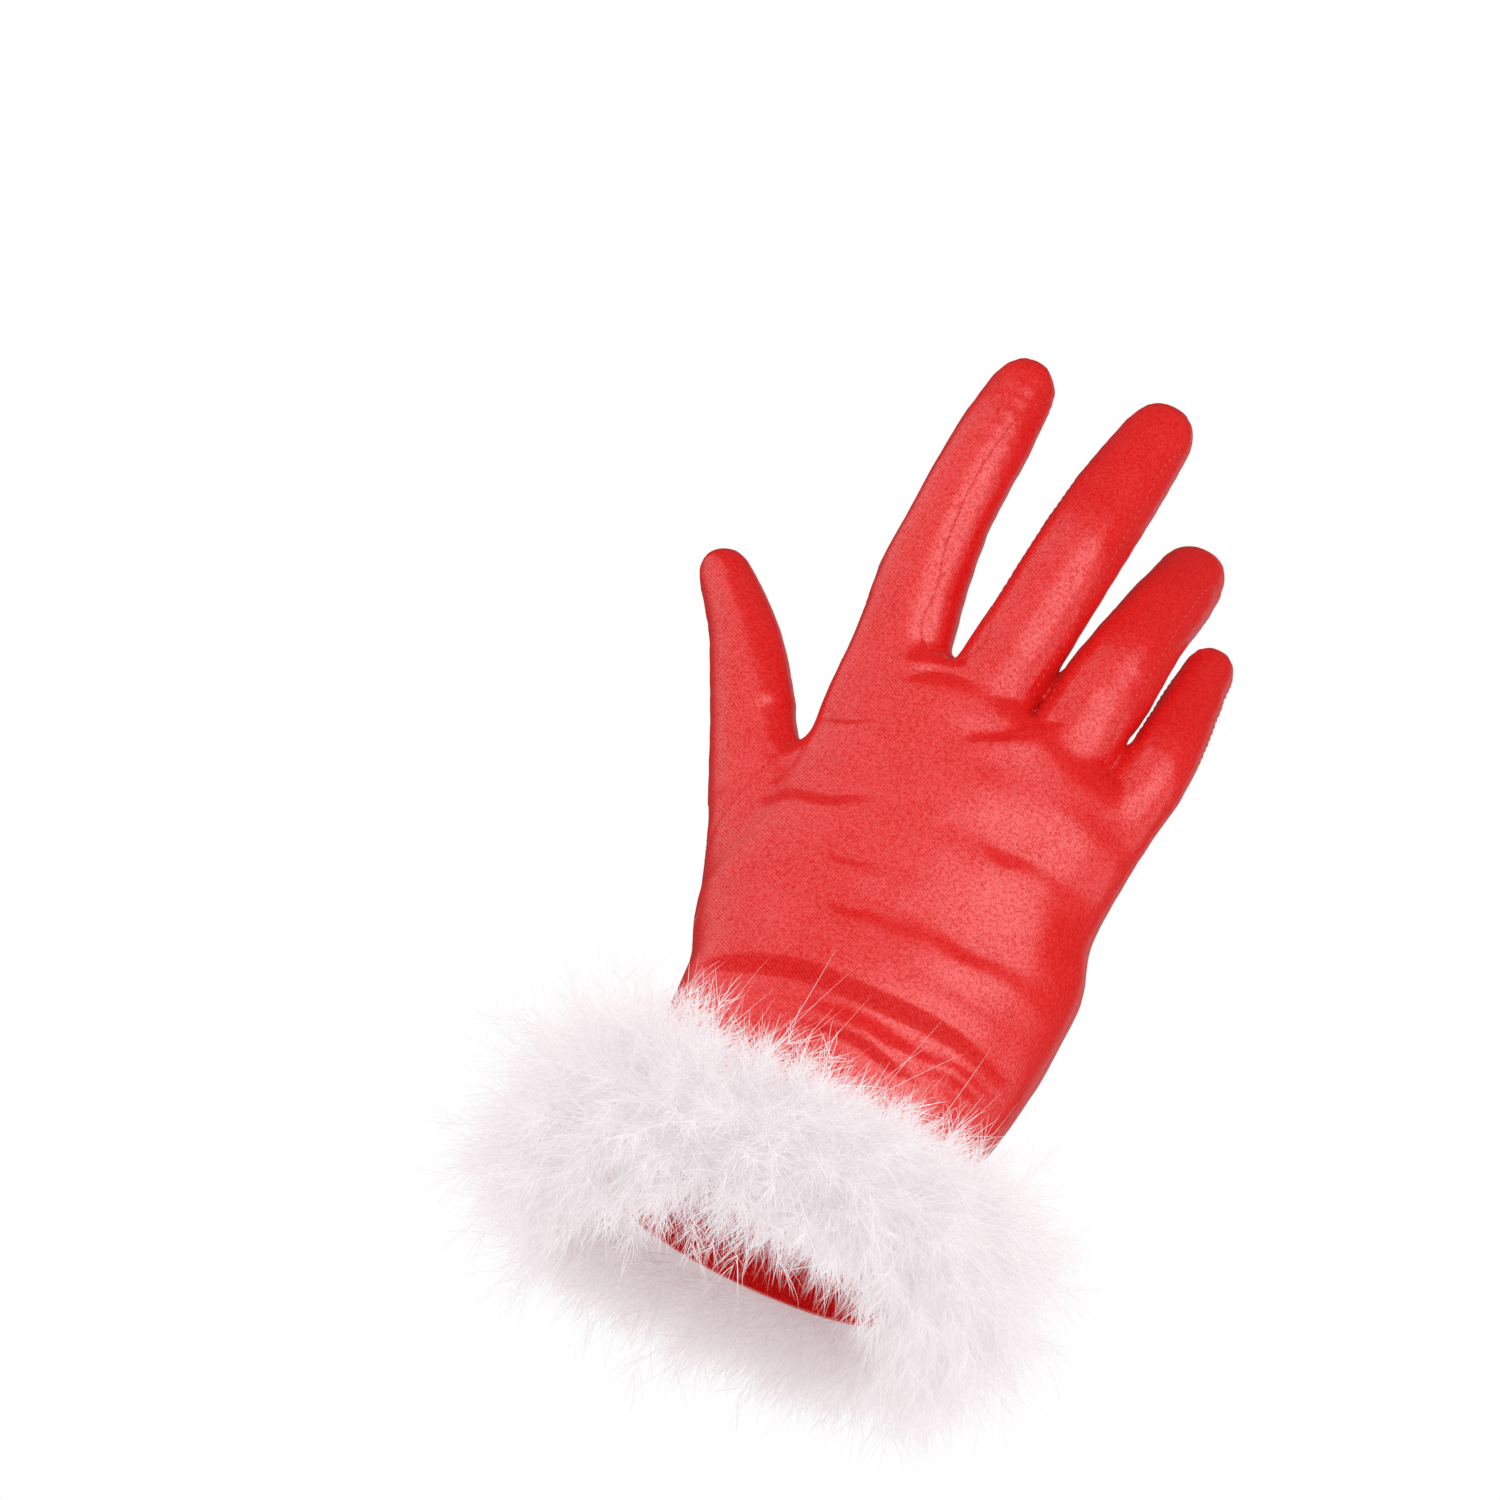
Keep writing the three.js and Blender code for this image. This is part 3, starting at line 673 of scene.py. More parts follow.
def soft_waves(points, seed, size, count=10):
    """A smooth wandering value between about -1 and 1, from a few long waves."""
    rng = np.random.default_rng(seed)
    total = np.zeros(len(points))
    for _ in range(count):
        direction = rng.normal(size=3)
        direction *= rng.uniform(0.6, 1.4) / np.linalg.norm(direction)
        total += np.sin(points @ direction * 2 * math.pi / size + rng.uniform(0, 2 * math.pi))
    return total / math.sqrt(count * 2)


def smoothed_body(settings):
    """The whole glove as one closed skin: the tubes and the hand remeshed together and smoothed."""
    rough = bmesh.new()
    add_hand(rough, settings.slack)
    for line in LINES.values():
        add_finger(rough, line, settings.slack)
    add_webs(rough)
    form = bpy.data.objects.new("glove_form", mesh_from(rough, "glove_form"))
    bpy.context.scene.collection.objects.link(form)
    remesh = form.modifiers.new("Remesh", "REMESH")
    remesh.mode = "VOXEL"
    remesh.voxel_size = settings.grid
    remesh.use_smooth_shade = True
    depsgraph = bpy.context.evaluated_depsgraph_get()
    skin = bpy.data.meshes.new_from_object(form.evaluated_get(depsgraph))
    bpy.data.objects.remove(form)

    work = opened(skin)
    calm(work, work.verts, 10)
    flows = [(Vector(place) * MM, reach * MM) for place, reach in THUMB_FLOWS]
    near = [v for v in work.verts if any((v.co - place).length < reach for place, reach in flows)]
    calm(work, near, THUMB_FLOW_PASSES)
    for low, high, passes in KNUCKLE_PASSES:
        back = [v for v in work.verts if low * MM < v.co.z < high * MM and v.co.y < -5 * MM]
        calm(work, back, passes, axes="y")
    for vert in work.verts:
        vert.co += vert.normal * settings.slack
    bmesh.ops.bisect_plane(
        work,
        geom=work.verts[:] + work.edges[:] + work.faces[:],
        plane_co=(0, 0, 0),
        plane_no=(0, 0, -1),
        clear_outer=True,
    )
    work.to_mesh(skin)
    work.free()
    return skin


def shape_folds(mesh):
    """Presses the creases and the loose waves of the cloth into the skin."""
    points, normals = vertex_arrays(mesh)
    x, y, z = points.T
    on_back = smoothstep(0.1, 0.75, -normals[:, 1])
    below_fingers = 1 - smoothstep(FOLDS_END[0] * MM, FOLDS_END[1] * MM, z)
    offset = fold_offset(x, z, -1) * on_back * below_fingers
    on_palm = smoothstep(0.1, 0.75, normals[:, 1])
    offset += fold_offset(x, z, 1) * on_palm * below_fingers
    offset += LONG_WAVES[0] * MM * soft_waves(points, 3, LONG_WAVES[1] * MM)
    stretched = points * np.array([0.45, 0.45, 1.0])
    on_hand = (1 - smoothstep(120 * MM, 150 * MM, z)) * smoothstep(-42 * MM, -34 * MM, x)
    loose = CALM_SHARE + (1 - CALM_SHARE) * on_hand
    offset += SHORT_WAVES[0] * MM * loose * soft_waves(stretched, 5, SHORT_WAVES[1] * MM)
    for name, line in LINES.items():
        here = line.local(points)
        mine = smoothstep(1.35, 1.1, here["share"]) * smoothstep(0.2, 0.45, here["along"] / line.length)
        wave = here["along"] / (FINGER_WAVE[1] * MM) * 2 * math.pi + 2 * np.sin(here["turn"] / 40)
        bend = FINGER_WAVE[0] * MM * np.sin(wave)
        inner = smoothstep(60, 120, np.abs(here["turn"]))
        offset += mine * bend * (0.25 + 0.75 * inner)
    set_vertices(mesh, points + normals * offset[:, None])


def calmed_pieces(work, pieces):
    """The piece of each face, where a face that its neighbours close in goes over to their piece."""
    for _ in range(2):
        calmed = pieces.copy()
        for face in work.faces:
            around = [pieces[f.index] for e in face.edges for f in e.link_faces if f is not face]
            top = max(set(around), key=around.count)
            if around.count(top) >= 3:
                calmed[face.index] = top
        pieces = calmed
    return pieces


def pulled_onto_seams(points, which):
    """Points moved down the slope of their own field, to where it is zero."""

    def own_field(places):
        return fields(places)[which, np.arange(len(places))]

    step, longest = 0.05 * MM, 0.9 * MM
    for _ in range(3):
        here = own_field(points)
        slope = np.stack([(own_field(points + nudge) - here) / step for nudge in np.eye(3) * step], axis=1)
        shift = -(here / np.maximum((slope**2).sum(axis=1), 0.2))[:, None] * slope
        length = np.linalg.norm(shift, axis=1, keepdims=True)
        points = points + shift * np.minimum(1, longest / np.maximum(length, 1e-9))
    return points


def snap_to_seams(mesh):
    """Moves the skin's points between two pieces onto the seam, and returns the piece of each face."""
    points, normals = vertex_arrays(mesh)
    centres = np.empty(len(mesh.polygons) * 3)
    mesh.polygons.foreach_get("center", centres)
    work = opened(mesh)
    work.faces.ensure_lookup_table()
    pieces = calmed_pieces(work, piece_of(fields(centres.reshape(-1, 3))))
    first_piece = {}
    for vert in work.verts:
        met = {int(pieces[face.index]) for face in vert.link_faces}
        if len(met) > 1:
            first_piece[vert.index] = min(met)
    work.free()
    rows = np.array(list(first_piece))
    which = np.minimum(np.array(list(first_piece.values())), 4)
    shift = pulled_onto_seams(points[rows], which) - points[rows]
    normals = normals[rows]
    shift -= normals * (shift * normals).sum(axis=1, keepdims=True)
    length = np.linalg.norm(shift, axis=1, keepdims=True)
    points[rows] += shift * np.where(length > SNAP_REACH * MM, 0, 1)
    set_vertices(mesh, points)
    calm_beside_seams(mesh, pieces)
    return pieces


def calm_beside_seams(mesh, pieces):
    """Evens out the seams' zigzags, and then the faces beside them."""
    work = opened(mesh)
    work.verts.ensure_lookup_table()
    links = seam_links(work, pieces)
    for _ in range(4):
        places = {}
        for i, near in links.items():
            if len(near) == 2:
                ends = work.verts[near[0]].co + work.verts[near[1]].co
                places[i] = work.verts[i].co * 0.5 + ends * 0.25
        for i, place in places.items():
            work.verts[i].co = place
    beside = {v for i in links for e in work.verts[i].link_edges for v in e.verts}
    for _ in range(2):
        beside |= {v for u in beside for e in u.link_edges for v in e.verts}
    free = [v for v in beside if v.index not in links and not v.is_boundary]
    calm(work, free, 6)
    work.to_mesh(mesh)
    work.free()
    mesh.update()


def seam_links(work, pieces):
    """For each point on a seam, its neighbours along the seam."""
    links = {}
    for edge in work.edges:
        met = {int(pieces[face.index]) for face in edge.link_faces}
        if len(met) > 1:
            a, b = edge.verts[0].index, edge.verts[1].index
            links.setdefault(a, []).append(b)
            links.setdefault(b, []).append(a)
    return links


def seam_lines(mesh, pieces):
    """The seams as chains of neighbouring points of the skin."""
    work = opened(mesh)
    links = seam_links(work, pieces)
    ends = [v for v, near in links.items() if len(near) != 2]
    used, chains = set(), []
    for start in ends + list(links):
        for first in links[start]:
            if (start, first) in used:
                continue
            chain, before, here = [start], start, first
            used.update({(start, first), (first, start)})
            while True:
                chain.append(here)
                onward = [v for v in links[here] if v != before and (here, v) not in used]
                if len(links[here]) != 2 or not onward:
                    break
                before, here = here, onward[0]
                used.update({(before, here), (here, before)})
            if len(chain) > 4:
                chains.append(chain)
    work.free()
    return chains


def even_steps(points, normals, pitch):
    """Places, directions out and directions ahead at an even pitch along a chain, after it is calmed."""
    for _ in range(4):
        points[1:-1] = (points[:-2] + 2 * points[1:-1] + points[2:]) / 4
    gaps = np.linalg.norm(np.diff(points, axis=0), axis=1)
    along = np.concatenate([[0], np.cumsum(gaps)])
    at = np.arange(pitch / 2, along[-1], pitch)

    def pick(values, where):
        return np.stack([np.interp(where, along, values[:, k]) for k in range(3)], axis=1)

    ahead = pick(points, at + pitch / 4) - pick(points, at - pitch / 4)
    return pick(points, at), unit(pick(normals, at)), unit(ahead)


def thumb_seam_points():
    """The seam along the thumb's tube, from the web to the tip."""
    line = LINES["thumb"]
    turn = math.radians(THUMB_TUBE_SEAM)
    points = []
    for along in np.linspace(THUMB_TUBE_SEAM_START * MM, line.length - 1 * MM, 40):
        middle, across, facing, half = line.station(along)
        points.append(middle + (across * math.sin(turn) + facing * math.cos(turn) * DEPTH_TO_WIDTH) * half)
    return points


def on_skin(mesh, points):
    """The nearest places on the skin, with the directions out of it."""
    work = opened(mesh)
    tree = BVHTree.FromBMesh(work)
    work.free()
    found = [tree.find_nearest(Vector(point)) for point in points]
    return np.array([hit[0] for hit in found]), np.array([hit[1] for hit in found])


def nearest_distance(points, targets):
    tree = KDTree(len(targets))
    for i, target in enumerate(targets):
        tree.insert(target, i)
    tree.balance()
    return np.array([tree.find(point)[2] for point in points])


def set_inputs(node, values):
    """Sets a node's own sockets."""
    for name, value in values.items():
        node.inputs[name].default_value = value


def add_node(tree, kind, values=None, **settings):
    """Adds a node, with values on its sockets and settings of its own."""
    node = tree.nodes.new(kind)
    for name, value in settings.items():
        setattr(node, name, value)
    set_inputs(node, values or {})
    return node


def math_node(tree, operation, first, second=None, clamp=False):
    node = add_node(tree, "ShaderNodeMath", operation=operation, use_clamp=clamp)
    for socket, value in zip(node.inputs, (first, second)):
        if isinstance(value, bpy.types.NodeSocket):
            tree.links.new(value, socket)
        elif value is not None:
            socket.default_value = value
    return node.outputs[0]


def split_place(tree, kind):
    """A place or a direction, and its x, y and z."""
    place = add_node(tree, "ShaderNodeTexCoord").outputs[kind]
    split = add_node(tree, "ShaderNodeSeparateXYZ")
    tree.links.new(place, split.inputs[0])
    return place, split.outputs


def object_noise(tree, **values):
    """Noise that keeps its place on a piece."""
    place = add_node(tree, "ShaderNodeTexCoord")
    noise = add_node(tree, "ShaderNodeTexNoise", values)
    tree.links.new(place.outputs["Object"], noise.inputs["Vector"])
    return noise.outputs["Fac"]


def ramp(tree, source, start, end, low=0.0, high=1.0, kind="SMOOTHSTEP"):
    """A value that runs from low to high while another runs from start to end."""
    values = {"From Min": start, "From Max": end, "To Min": low, "To Max": high}
    node = add_node(tree, "ShaderNodeMapRange", values, interpolation_type=kind)
    tree.links.new(source, node.inputs["Value"])
    return node.outputs["Result"]


def add_bump(tree, shader, height, strength, distance):
    """Raises the surface a little where a value is high."""
    bump = add_node(tree, "ShaderNodeBump", {"Strength": strength, "Distance": distance})
    tree.links.new(height, bump.inputs["Height"])
    tree.links.new(bump.outputs["Normal"], shader.inputs["Normal"])


def new_material(name):
    """A new material, its tree and its shader."""
    material = bpy.data.materials.new(name)
    material.use_nodes = True
    return material, material.node_tree, material.node_tree.nodes["Principled BSDF"]


def weave_group(pitch):
    """The fine crosswise ribs and the grain of satin, on Object coordinates."""
    group = bpy.data.node_groups.new("Satin weave", "ShaderNodeTree")
    for label in ("Height", "Tone"):
        group.interface.new_socket(name=label, in_out="OUTPUT", socket_type="NodeSocketFloat")
    out = add_node(group, "NodeGroupOutput")
    _, parts = split_place(group, "Object")
    height = math_node(group, "ADD", parts["Z"], math_node(group, "MULTIPLY", parts["X"], WEAVE_LEAN))
    wobble = object_noise(group, Scale=160.0, Detail=2.0)
    bent = math_node(group, "ADD", height, math_node(group, "MULTIPLY", wobble, 1.2 * MM))
    phase = math_node(group, "MULTIPLY", bent, 2 * math.pi / pitch)
    ribs = math_node(group, "MULTIPLY", math_node(group, "SINE", phase), 0.35)
    grain = object_noise(group, Scale=1500.0, Detail=2.0, Roughness=0.6)
    speck = math_node(group, "MULTIPLY", math_node(group, "SUBTRACT", grain, 0.5), 4.0)
    fine = math_node(group, "ADD", ribs, speck)
    group.links.new(fine, out.inputs["Height"])
    slow = math_node(group, "SUBTRACT", object_noise(group, Scale=60.0, Detail=3.0), 0.5)
    group.links.new(math_node(group, "ADD", slow, fine), out.inputs["Tone"])
    return group


def mixed_colour(tree, amount, first, second):
    """A colour between two, by a value that changes over the surface."""
    mix = add_node(tree, "ShaderNodeMix", data_type="RGBA")
    a, b = [s for s in mix.inputs if s.type == "RGBA"]
    factor = [s for s in mix.inputs if s.type == "VALUE"][0]
    result = [s for s in mix.outputs if s.type == "RGBA"][0]
    tree.links.new(amount, factor)
    for socket, value in ((a, first), (b, second)):
        if isinstance(value, bpy.types.NodeSocket):
            tree.links.new(value, socket)
        else:
            socket.default_value = (*value, 1)
    return result


def satin_material(name, settings, weave, shine):
    """Satin: a saturated red with a soft broad shine and a fine weave, its grain in the colour partly the
    weave's own tone and partly painted glints, and seams that sink in with painted shade in their grooves.
    """
    material, tree, shader = new_material(name)
    cloth = add_node(tree, "ShaderNodeGroup", node_tree=weave)
    tone = cloth.outputs["Tone"]
    base_roughness, coat = (0.45, 0.72) if shine else (0.7, 0.2)
    colour = np.array(settings.colour)
    # The weave's grain in the colour: the darker end is its own tone, the lighter, pinker end is painted
    # glints of the satin's sheen.
    grain_and_glint = ramp(tree, tone, -0.5, 0.5, kind="LINEAR")
    light = tuple(np.minimum(colour * np.array((1.08, 2.1, 2.2)), 1))
    dark = tuple(colour * np.array((0.9, 0.1, 0.1)))
    plain = mixed_colour(tree, grain_and_glint, dark, light)
    # Painted shade in the seams' grooves: the colour goes to a darker, more saturated red towards a seam,
    # and the coat is also thinned there.
    seam = add_node(tree, "ShaderNodeAttribute", attribute_name="seam")
    shade = ramp(tree, seam.outputs["Fac"], 0.15 * MM, 0.6 * MM, low=0.8, high=0.0)
    deep = tuple(colour * np.array((0.92, 0.8, 1.0)))
    tree.links.new(mixed_colour(tree, shade, plain, deep), shader.inputs["Base Color"])
    rough = math_node(tree, "MULTIPLY", tone, -0.08)
    worn = math_node(tree, "ADD", rough, base_roughness)
    rough_seams = math_node(tree, "ADD", worn, math_node(tree, "MULTIPLY", shade, 0.3))
    tree.links.new(rough_seams, shader.inputs["Roughness"])
    glints = math_node(tree, "MULTIPLY", tone, 0.5)
    cover = math_node(tree, "ADD", glints, coat)
    coat_dulled_at_seams = math_node(tree, "SUBTRACT", cover, math_node(tree, "MULTIPLY", shade, 0.35), clamp=True)
    tree.links.new(coat_dulled_at_seams, shader.inputs["Coat Weight"])
    set_inputs(shader, {
        "Specular IOR Level": 0.1,
        "Coat Roughness": settings.roughness,
        "Coat IOR": 1.7,
        "Sheen Weight": 0.08,
        "Sheen Roughness": 0.4,
        "Sheen Tint": (1.0, 0.4, 0.35, 1),
    })
    add_bump(tree, shader, cloth.outputs["Height"], 0.6, 0.03 * MM)
    return material


def thread_material(settings):
    """Sewing thread: the satin's red, a little lighter, with fine plies."""
    material, tree, shader = new_material("red_thread")
    plies = object_noise(tree, Scale=2600.0, Detail=2.0)
    colour = np.array(settings.colour)
    light = tuple(np.minimum(colour * np.array((1.15, 14.0, 13.0)), 1))
    dark = tuple(colour * np.array((1, 3, 3)))
    tree.links.new(mixed_colour(tree, plies, dark, light), shader.inputs["Base Color"])
    add_bump(tree, shader, plies, 0.5, 0.05 * MM)
    set_inputs(shader, {"Roughness": 0.45})
    return material


def marabou_material(name, settings, shade):
    """Feather down: a soft white, a little cooler in random tufts, with a painted glow in its emission;
    shade darkens the colour as painted shade, as on the trim's heart.
    """
    material, tree, shader = new_material(name)
    tufts = object_noise(tree, Scale=140.0, Detail=4.0)
    # A shade below 1 darkens the down as painted shade, as for the heart that lies deep inside the trim.
    colour = np.array(settings.colour) * shade
    cool = tuple(colour * np.array((0.96, 0.94, 0.96)))
    tree.links.new(mixed_colour(tree, tufts, cool, tuple(colour)), shader.inputs["Base Color"])
    add_bump(tree, shader, tufts, 0.4, 0.4 * MM)
    # The emission is a painted glow that lifts the shaded strands, in place of light scattered inside the
    # down.
    set_inputs(shader, {
        "Roughness": 0.9,
        "Specular IOR Level": 0.15,
        "Sheen Weight": 0.3,
        "Emission Color": (1.0, 0.95, 0.965, 1),
        "Emission Strength": settings.painted_inner_glow,
    })
    return material


def dress(piece, slot, *nodes):
    """Ties a finished piece to the frame."""
    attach(piece, "root")
    for node in nodes:
        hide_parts(node)


def sharpen_rim(mesh):
    """Keeps the shading of a panel's face apart from that of its cut edge."""
    work = opened(mesh)
    for edge in work.edges:
        edge.smooth = not edge.is_boundary
    work.to_mesh(mesh)
    work.free()


def link_piece(name, mesh, *materials):
    piece = bpy.data.objects.new(name, mesh)
    for material in materials:
        mesh.materials.append(material)
    bpy.context.scene.collection.objects.link(piece)
    return piece


class GLOVE_OT_satin(bpy.types.Operator):
    """Build the satin panels, the thumb and the strips between the fingers"""

    bl_idname = "glove.satin"
    bl_label = "Satin"

    def execute(self, context):
        settings = context.scene.glove_satin
        skin = smoothed_body(settings)
        shape_folds(skin)
        pieces = snap_to_seams(skin)
        chains = seam_lines(skin, pieces)
        if not chains:
            raise RuntimeError("The satin has no seams")
        points, normals = vertex_arrays(skin)
        tube_points, tube_normals = on_skin(skin, thumb_seam_points())
        on_seams = np.concatenate([points[chain] for chain in chains] + [tube_points])
        distance = nearest_distance(points, on_seams)
        sink = settings.groove * np.exp(-((distance / (GROOVE_WIDTH * MM)) ** 2))
        pucker = PUCKER_HEIGHT * MM * soft_waves(points, 11, PUCKER_LENGTH * MM)
        pucker *= np.exp(-((distance / (PUCKER_WIDTH * MM)) ** 2))
        set_vertices(skin, points + normals * (pucker - sink)[:, None])
        seam = skin.attributes.new("seam", "FLOAT", "POINT")
        seam.data.foreach_set("value", distance.astype(np.float32))

        weave = weave_group(settings.twill_pitch)
        outside = satin_material("red_satin", settings, weave, True)
        inside = satin_material("red_satin_reverse", settings, weave, False)
        for i, (name, nodes) in enumerate(SATIN_PIECES):
            work = opened(skin)
            others = [face for face in work.faces if pieces[face.index] != i]
            bmesh.ops.delete(work, geom=others, context="FACES")
            if not work.faces:
                raise RuntimeError(f"No satin is left for {name}")
            mesh = mesh_from(work, name + "_satin")
            sharpen_rim(mesh)
            piece = link_piece(name + "_satin", mesh, outside, inside)
            wall = piece.modifiers.new("Wall", "SOLIDIFY")
            wall.thickness = settings.wall
            wall.offset = -1
            wall.material_offset = 1
            wall.material_offset_rim = 0
            dress(piece, "satin", *nodes)

        self.sew(settings, skin, chains, (tube_points, tube_normals))
        bpy.data.meshes.remove(skin)
        return {"FINISHED"}

    def sew(self, settings, skin, chains, tube):
        """Lays a row of stitches in each seam, as one piece."""
        points, normals = vertex_arrays(skin)
        routes = [(points[chain], normals[chain]) for chain in chains] + [tube]
        work = bmesh.new()
        for route_points, route_normals in routes:
            middles, ups, aheads = even_steps(route_points.copy(), route_normals, settings.stitch_pitch)
            for middle, up, ahead in zip(middles, ups, aheads):
                side = unit(np.cross(up, ahead))
                turned = Matrix((ahead, side, up)).transposed().to_4x4()
                turned.translation = Vector(middle + up * STITCH_RAISE * MM)
                half_width, half_height = (size * MM for size in STITCH_HALF)
                size = Matrix.Diagonal((settings.stitch_length / 2, half_width, half_height, 1))
                bmesh.ops.create_icosphere(work, subdivisions=1, radius=1, matrix=turned @ size)
        mesh = mesh_from(work, "seam_stitches")
        dress(link_piece("seam_stitches", mesh, thread_material(settings)), "satin")


def trim_at(around, column):
    """A value of the trim's table at an angle round the wrist, in radians."""
    trim = table(TRIM_COLUMNS, TRIM_ROWS)
    return smooth_between(trim["degrees"], trim[column], np.degrees(around) % 360)


def cuff_point(around, out, height):
    """A point round the wrist, so far out from the cuff and at a height."""
    cuff = HAND_ROWS[1]
    x = np.cos(around) * (cuff[1] * MM + out)
    y = np.sin(around) * (cuff[2] * MM + out)
    return np.stack([x, y, height + 0 * x], axis=-1)


def on_middle_line(points):
    """Moves points of the trim up from the hem to its middle line."""
    shift = np.zeros_like(points)
    shift[..., 2] = TRIM_MIDDLE * MM + TRIM_RISE * points[..., 0]
    return points + shift


class GLOVE_OT_marabou_core(bpy.types.Operator):
    """Build the soft dense heart of the feather trim"""

    bl_idname = "glove.marabou_core"
    bl_label = "Marabou core"

    def execute(self, context):
        settings = context.scene.glove_marabou
        if not all(row[1] > 0 for row in TRIM_ROWS):
            raise RuntimeError("The trim needs a reach all the way round")
        work = bmesh.new()
        upright = Matrix.Rotation(math.pi / 2, 4, "X")
        start = bmesh.ops.create_circle(work, segments=28, radius=1, matrix=upright)
        bmesh.ops.translate(work, verts=start["verts"], vec=(CORE_TURN, 0, 0))
        bmesh.ops.spin(
            work,
            geom=work.verts[:] + work.edges[:],
            cent=(0, 0, 0),
            axis=(0, 0, 1),
            angle=2 * math.pi,
            steps=160,
            use_merge=True,
        )
        x, y, up = np.array([vert.co for vert in work.verts], float).T
        around, out = np.arctan2(y, x), np.hypot(x, y) - CORE_TURN
        ring = np.stack([np.cos(around) * CORE_TURN + out, np.sin(around) * CORE_TURN, up], axis=1)
        swell = 1 + CORE_LUMPS[0] * soft_waves(ring, 17, CORE_LUMPS[1])
        thick = trim_at(around, "reach") * MM * CORE_THICKNESS * swell
        distance = CORE_GAP * MM + thick * (1 + out)
        height = up * CORE_HEIGHT * MM * swell - trim_at(around, "droop") * MM * 0.25
        places = on_middle_line(cuff_point(around, distance, height))
        for vert, place in zip(work.verts, places):
            vert.co = place
        bmesh.ops.recalc_face_normals(work, faces=work.faces)
        mesh = mesh_from(work, "marabou_core")
        # The heart's white is 0.9 of the down's: painted shade deep inside the trim.
        piece = link_piece("marabou_core", mesh, marabou_material("marabou_heart", settings, 0.9))
        dress(piece, "marabou", "marabou_trim")
        return {"FINISHED"}


def ribbon_mesh(name, spines, widths, sides):
    """Flat tapering strands in one mesh. spines is (strands, points, 3), widths is (strands, points)."""
    strands, count = spines.shape[:2]
    left = spines[:, :-1] - sides[:, :-1] * widths[:, :-1, None] / 2
    right = spines[:, :-1] + sides[:, :-1] * widths[:, :-1, None] / 2
    pairs = np.stack([left, right], axis=2).reshape(strands, -1, 3)
    points = np.concatenate([pairs, spines[:, -1:]], axis=1)
    each = points.shape[1]
    loops = []
    for k in range(count - 2):
        loops += [2 * k, 2 * k + 1, 2 * k + 3, 2 * k + 2]
    loops += [2 * (count - 2), 2 * (count - 2) + 1, 2 * (count - 2) + 2]
    sizes = [4] * (count - 2) + [3]
    corners = (np.arange(strands)[:, None] * each + np.array(loops)[None, :]).ravel()
    totals = np.tile(sizes, strands)
    starts = np.concatenate([[0], np.cumsum(totals)[:-1]])
    mesh = bpy.data.meshes.new(name)
    mesh.vertices.add(strands * each)
    mesh.vertices.foreach_set("co", points.ravel())
    mesh.loops.add(len(corners))
    mesh.loops.foreach_set("vertex_index", corners.astype(np.int32))
    mesh.polygons.add(len(totals))
    mesh.polygons.foreach_set("loop_start", starts.astype(np.int32))
    mesh.polygons.foreach_set("use_smooth", np.ones(len(totals), bool))
    mesh.update(calc_edges=True)
    mesh.validate()
    return mesh


def strand_sides(spines, rng):
    """A sideways direction for each point of each strand."""
    ahead = unit(np.gradient(spines, axis=1))
    pick = rng.normal(size=(len(spines), 1, 3))
    return unit(np.cross(ahead, pick + 0 * ahead))


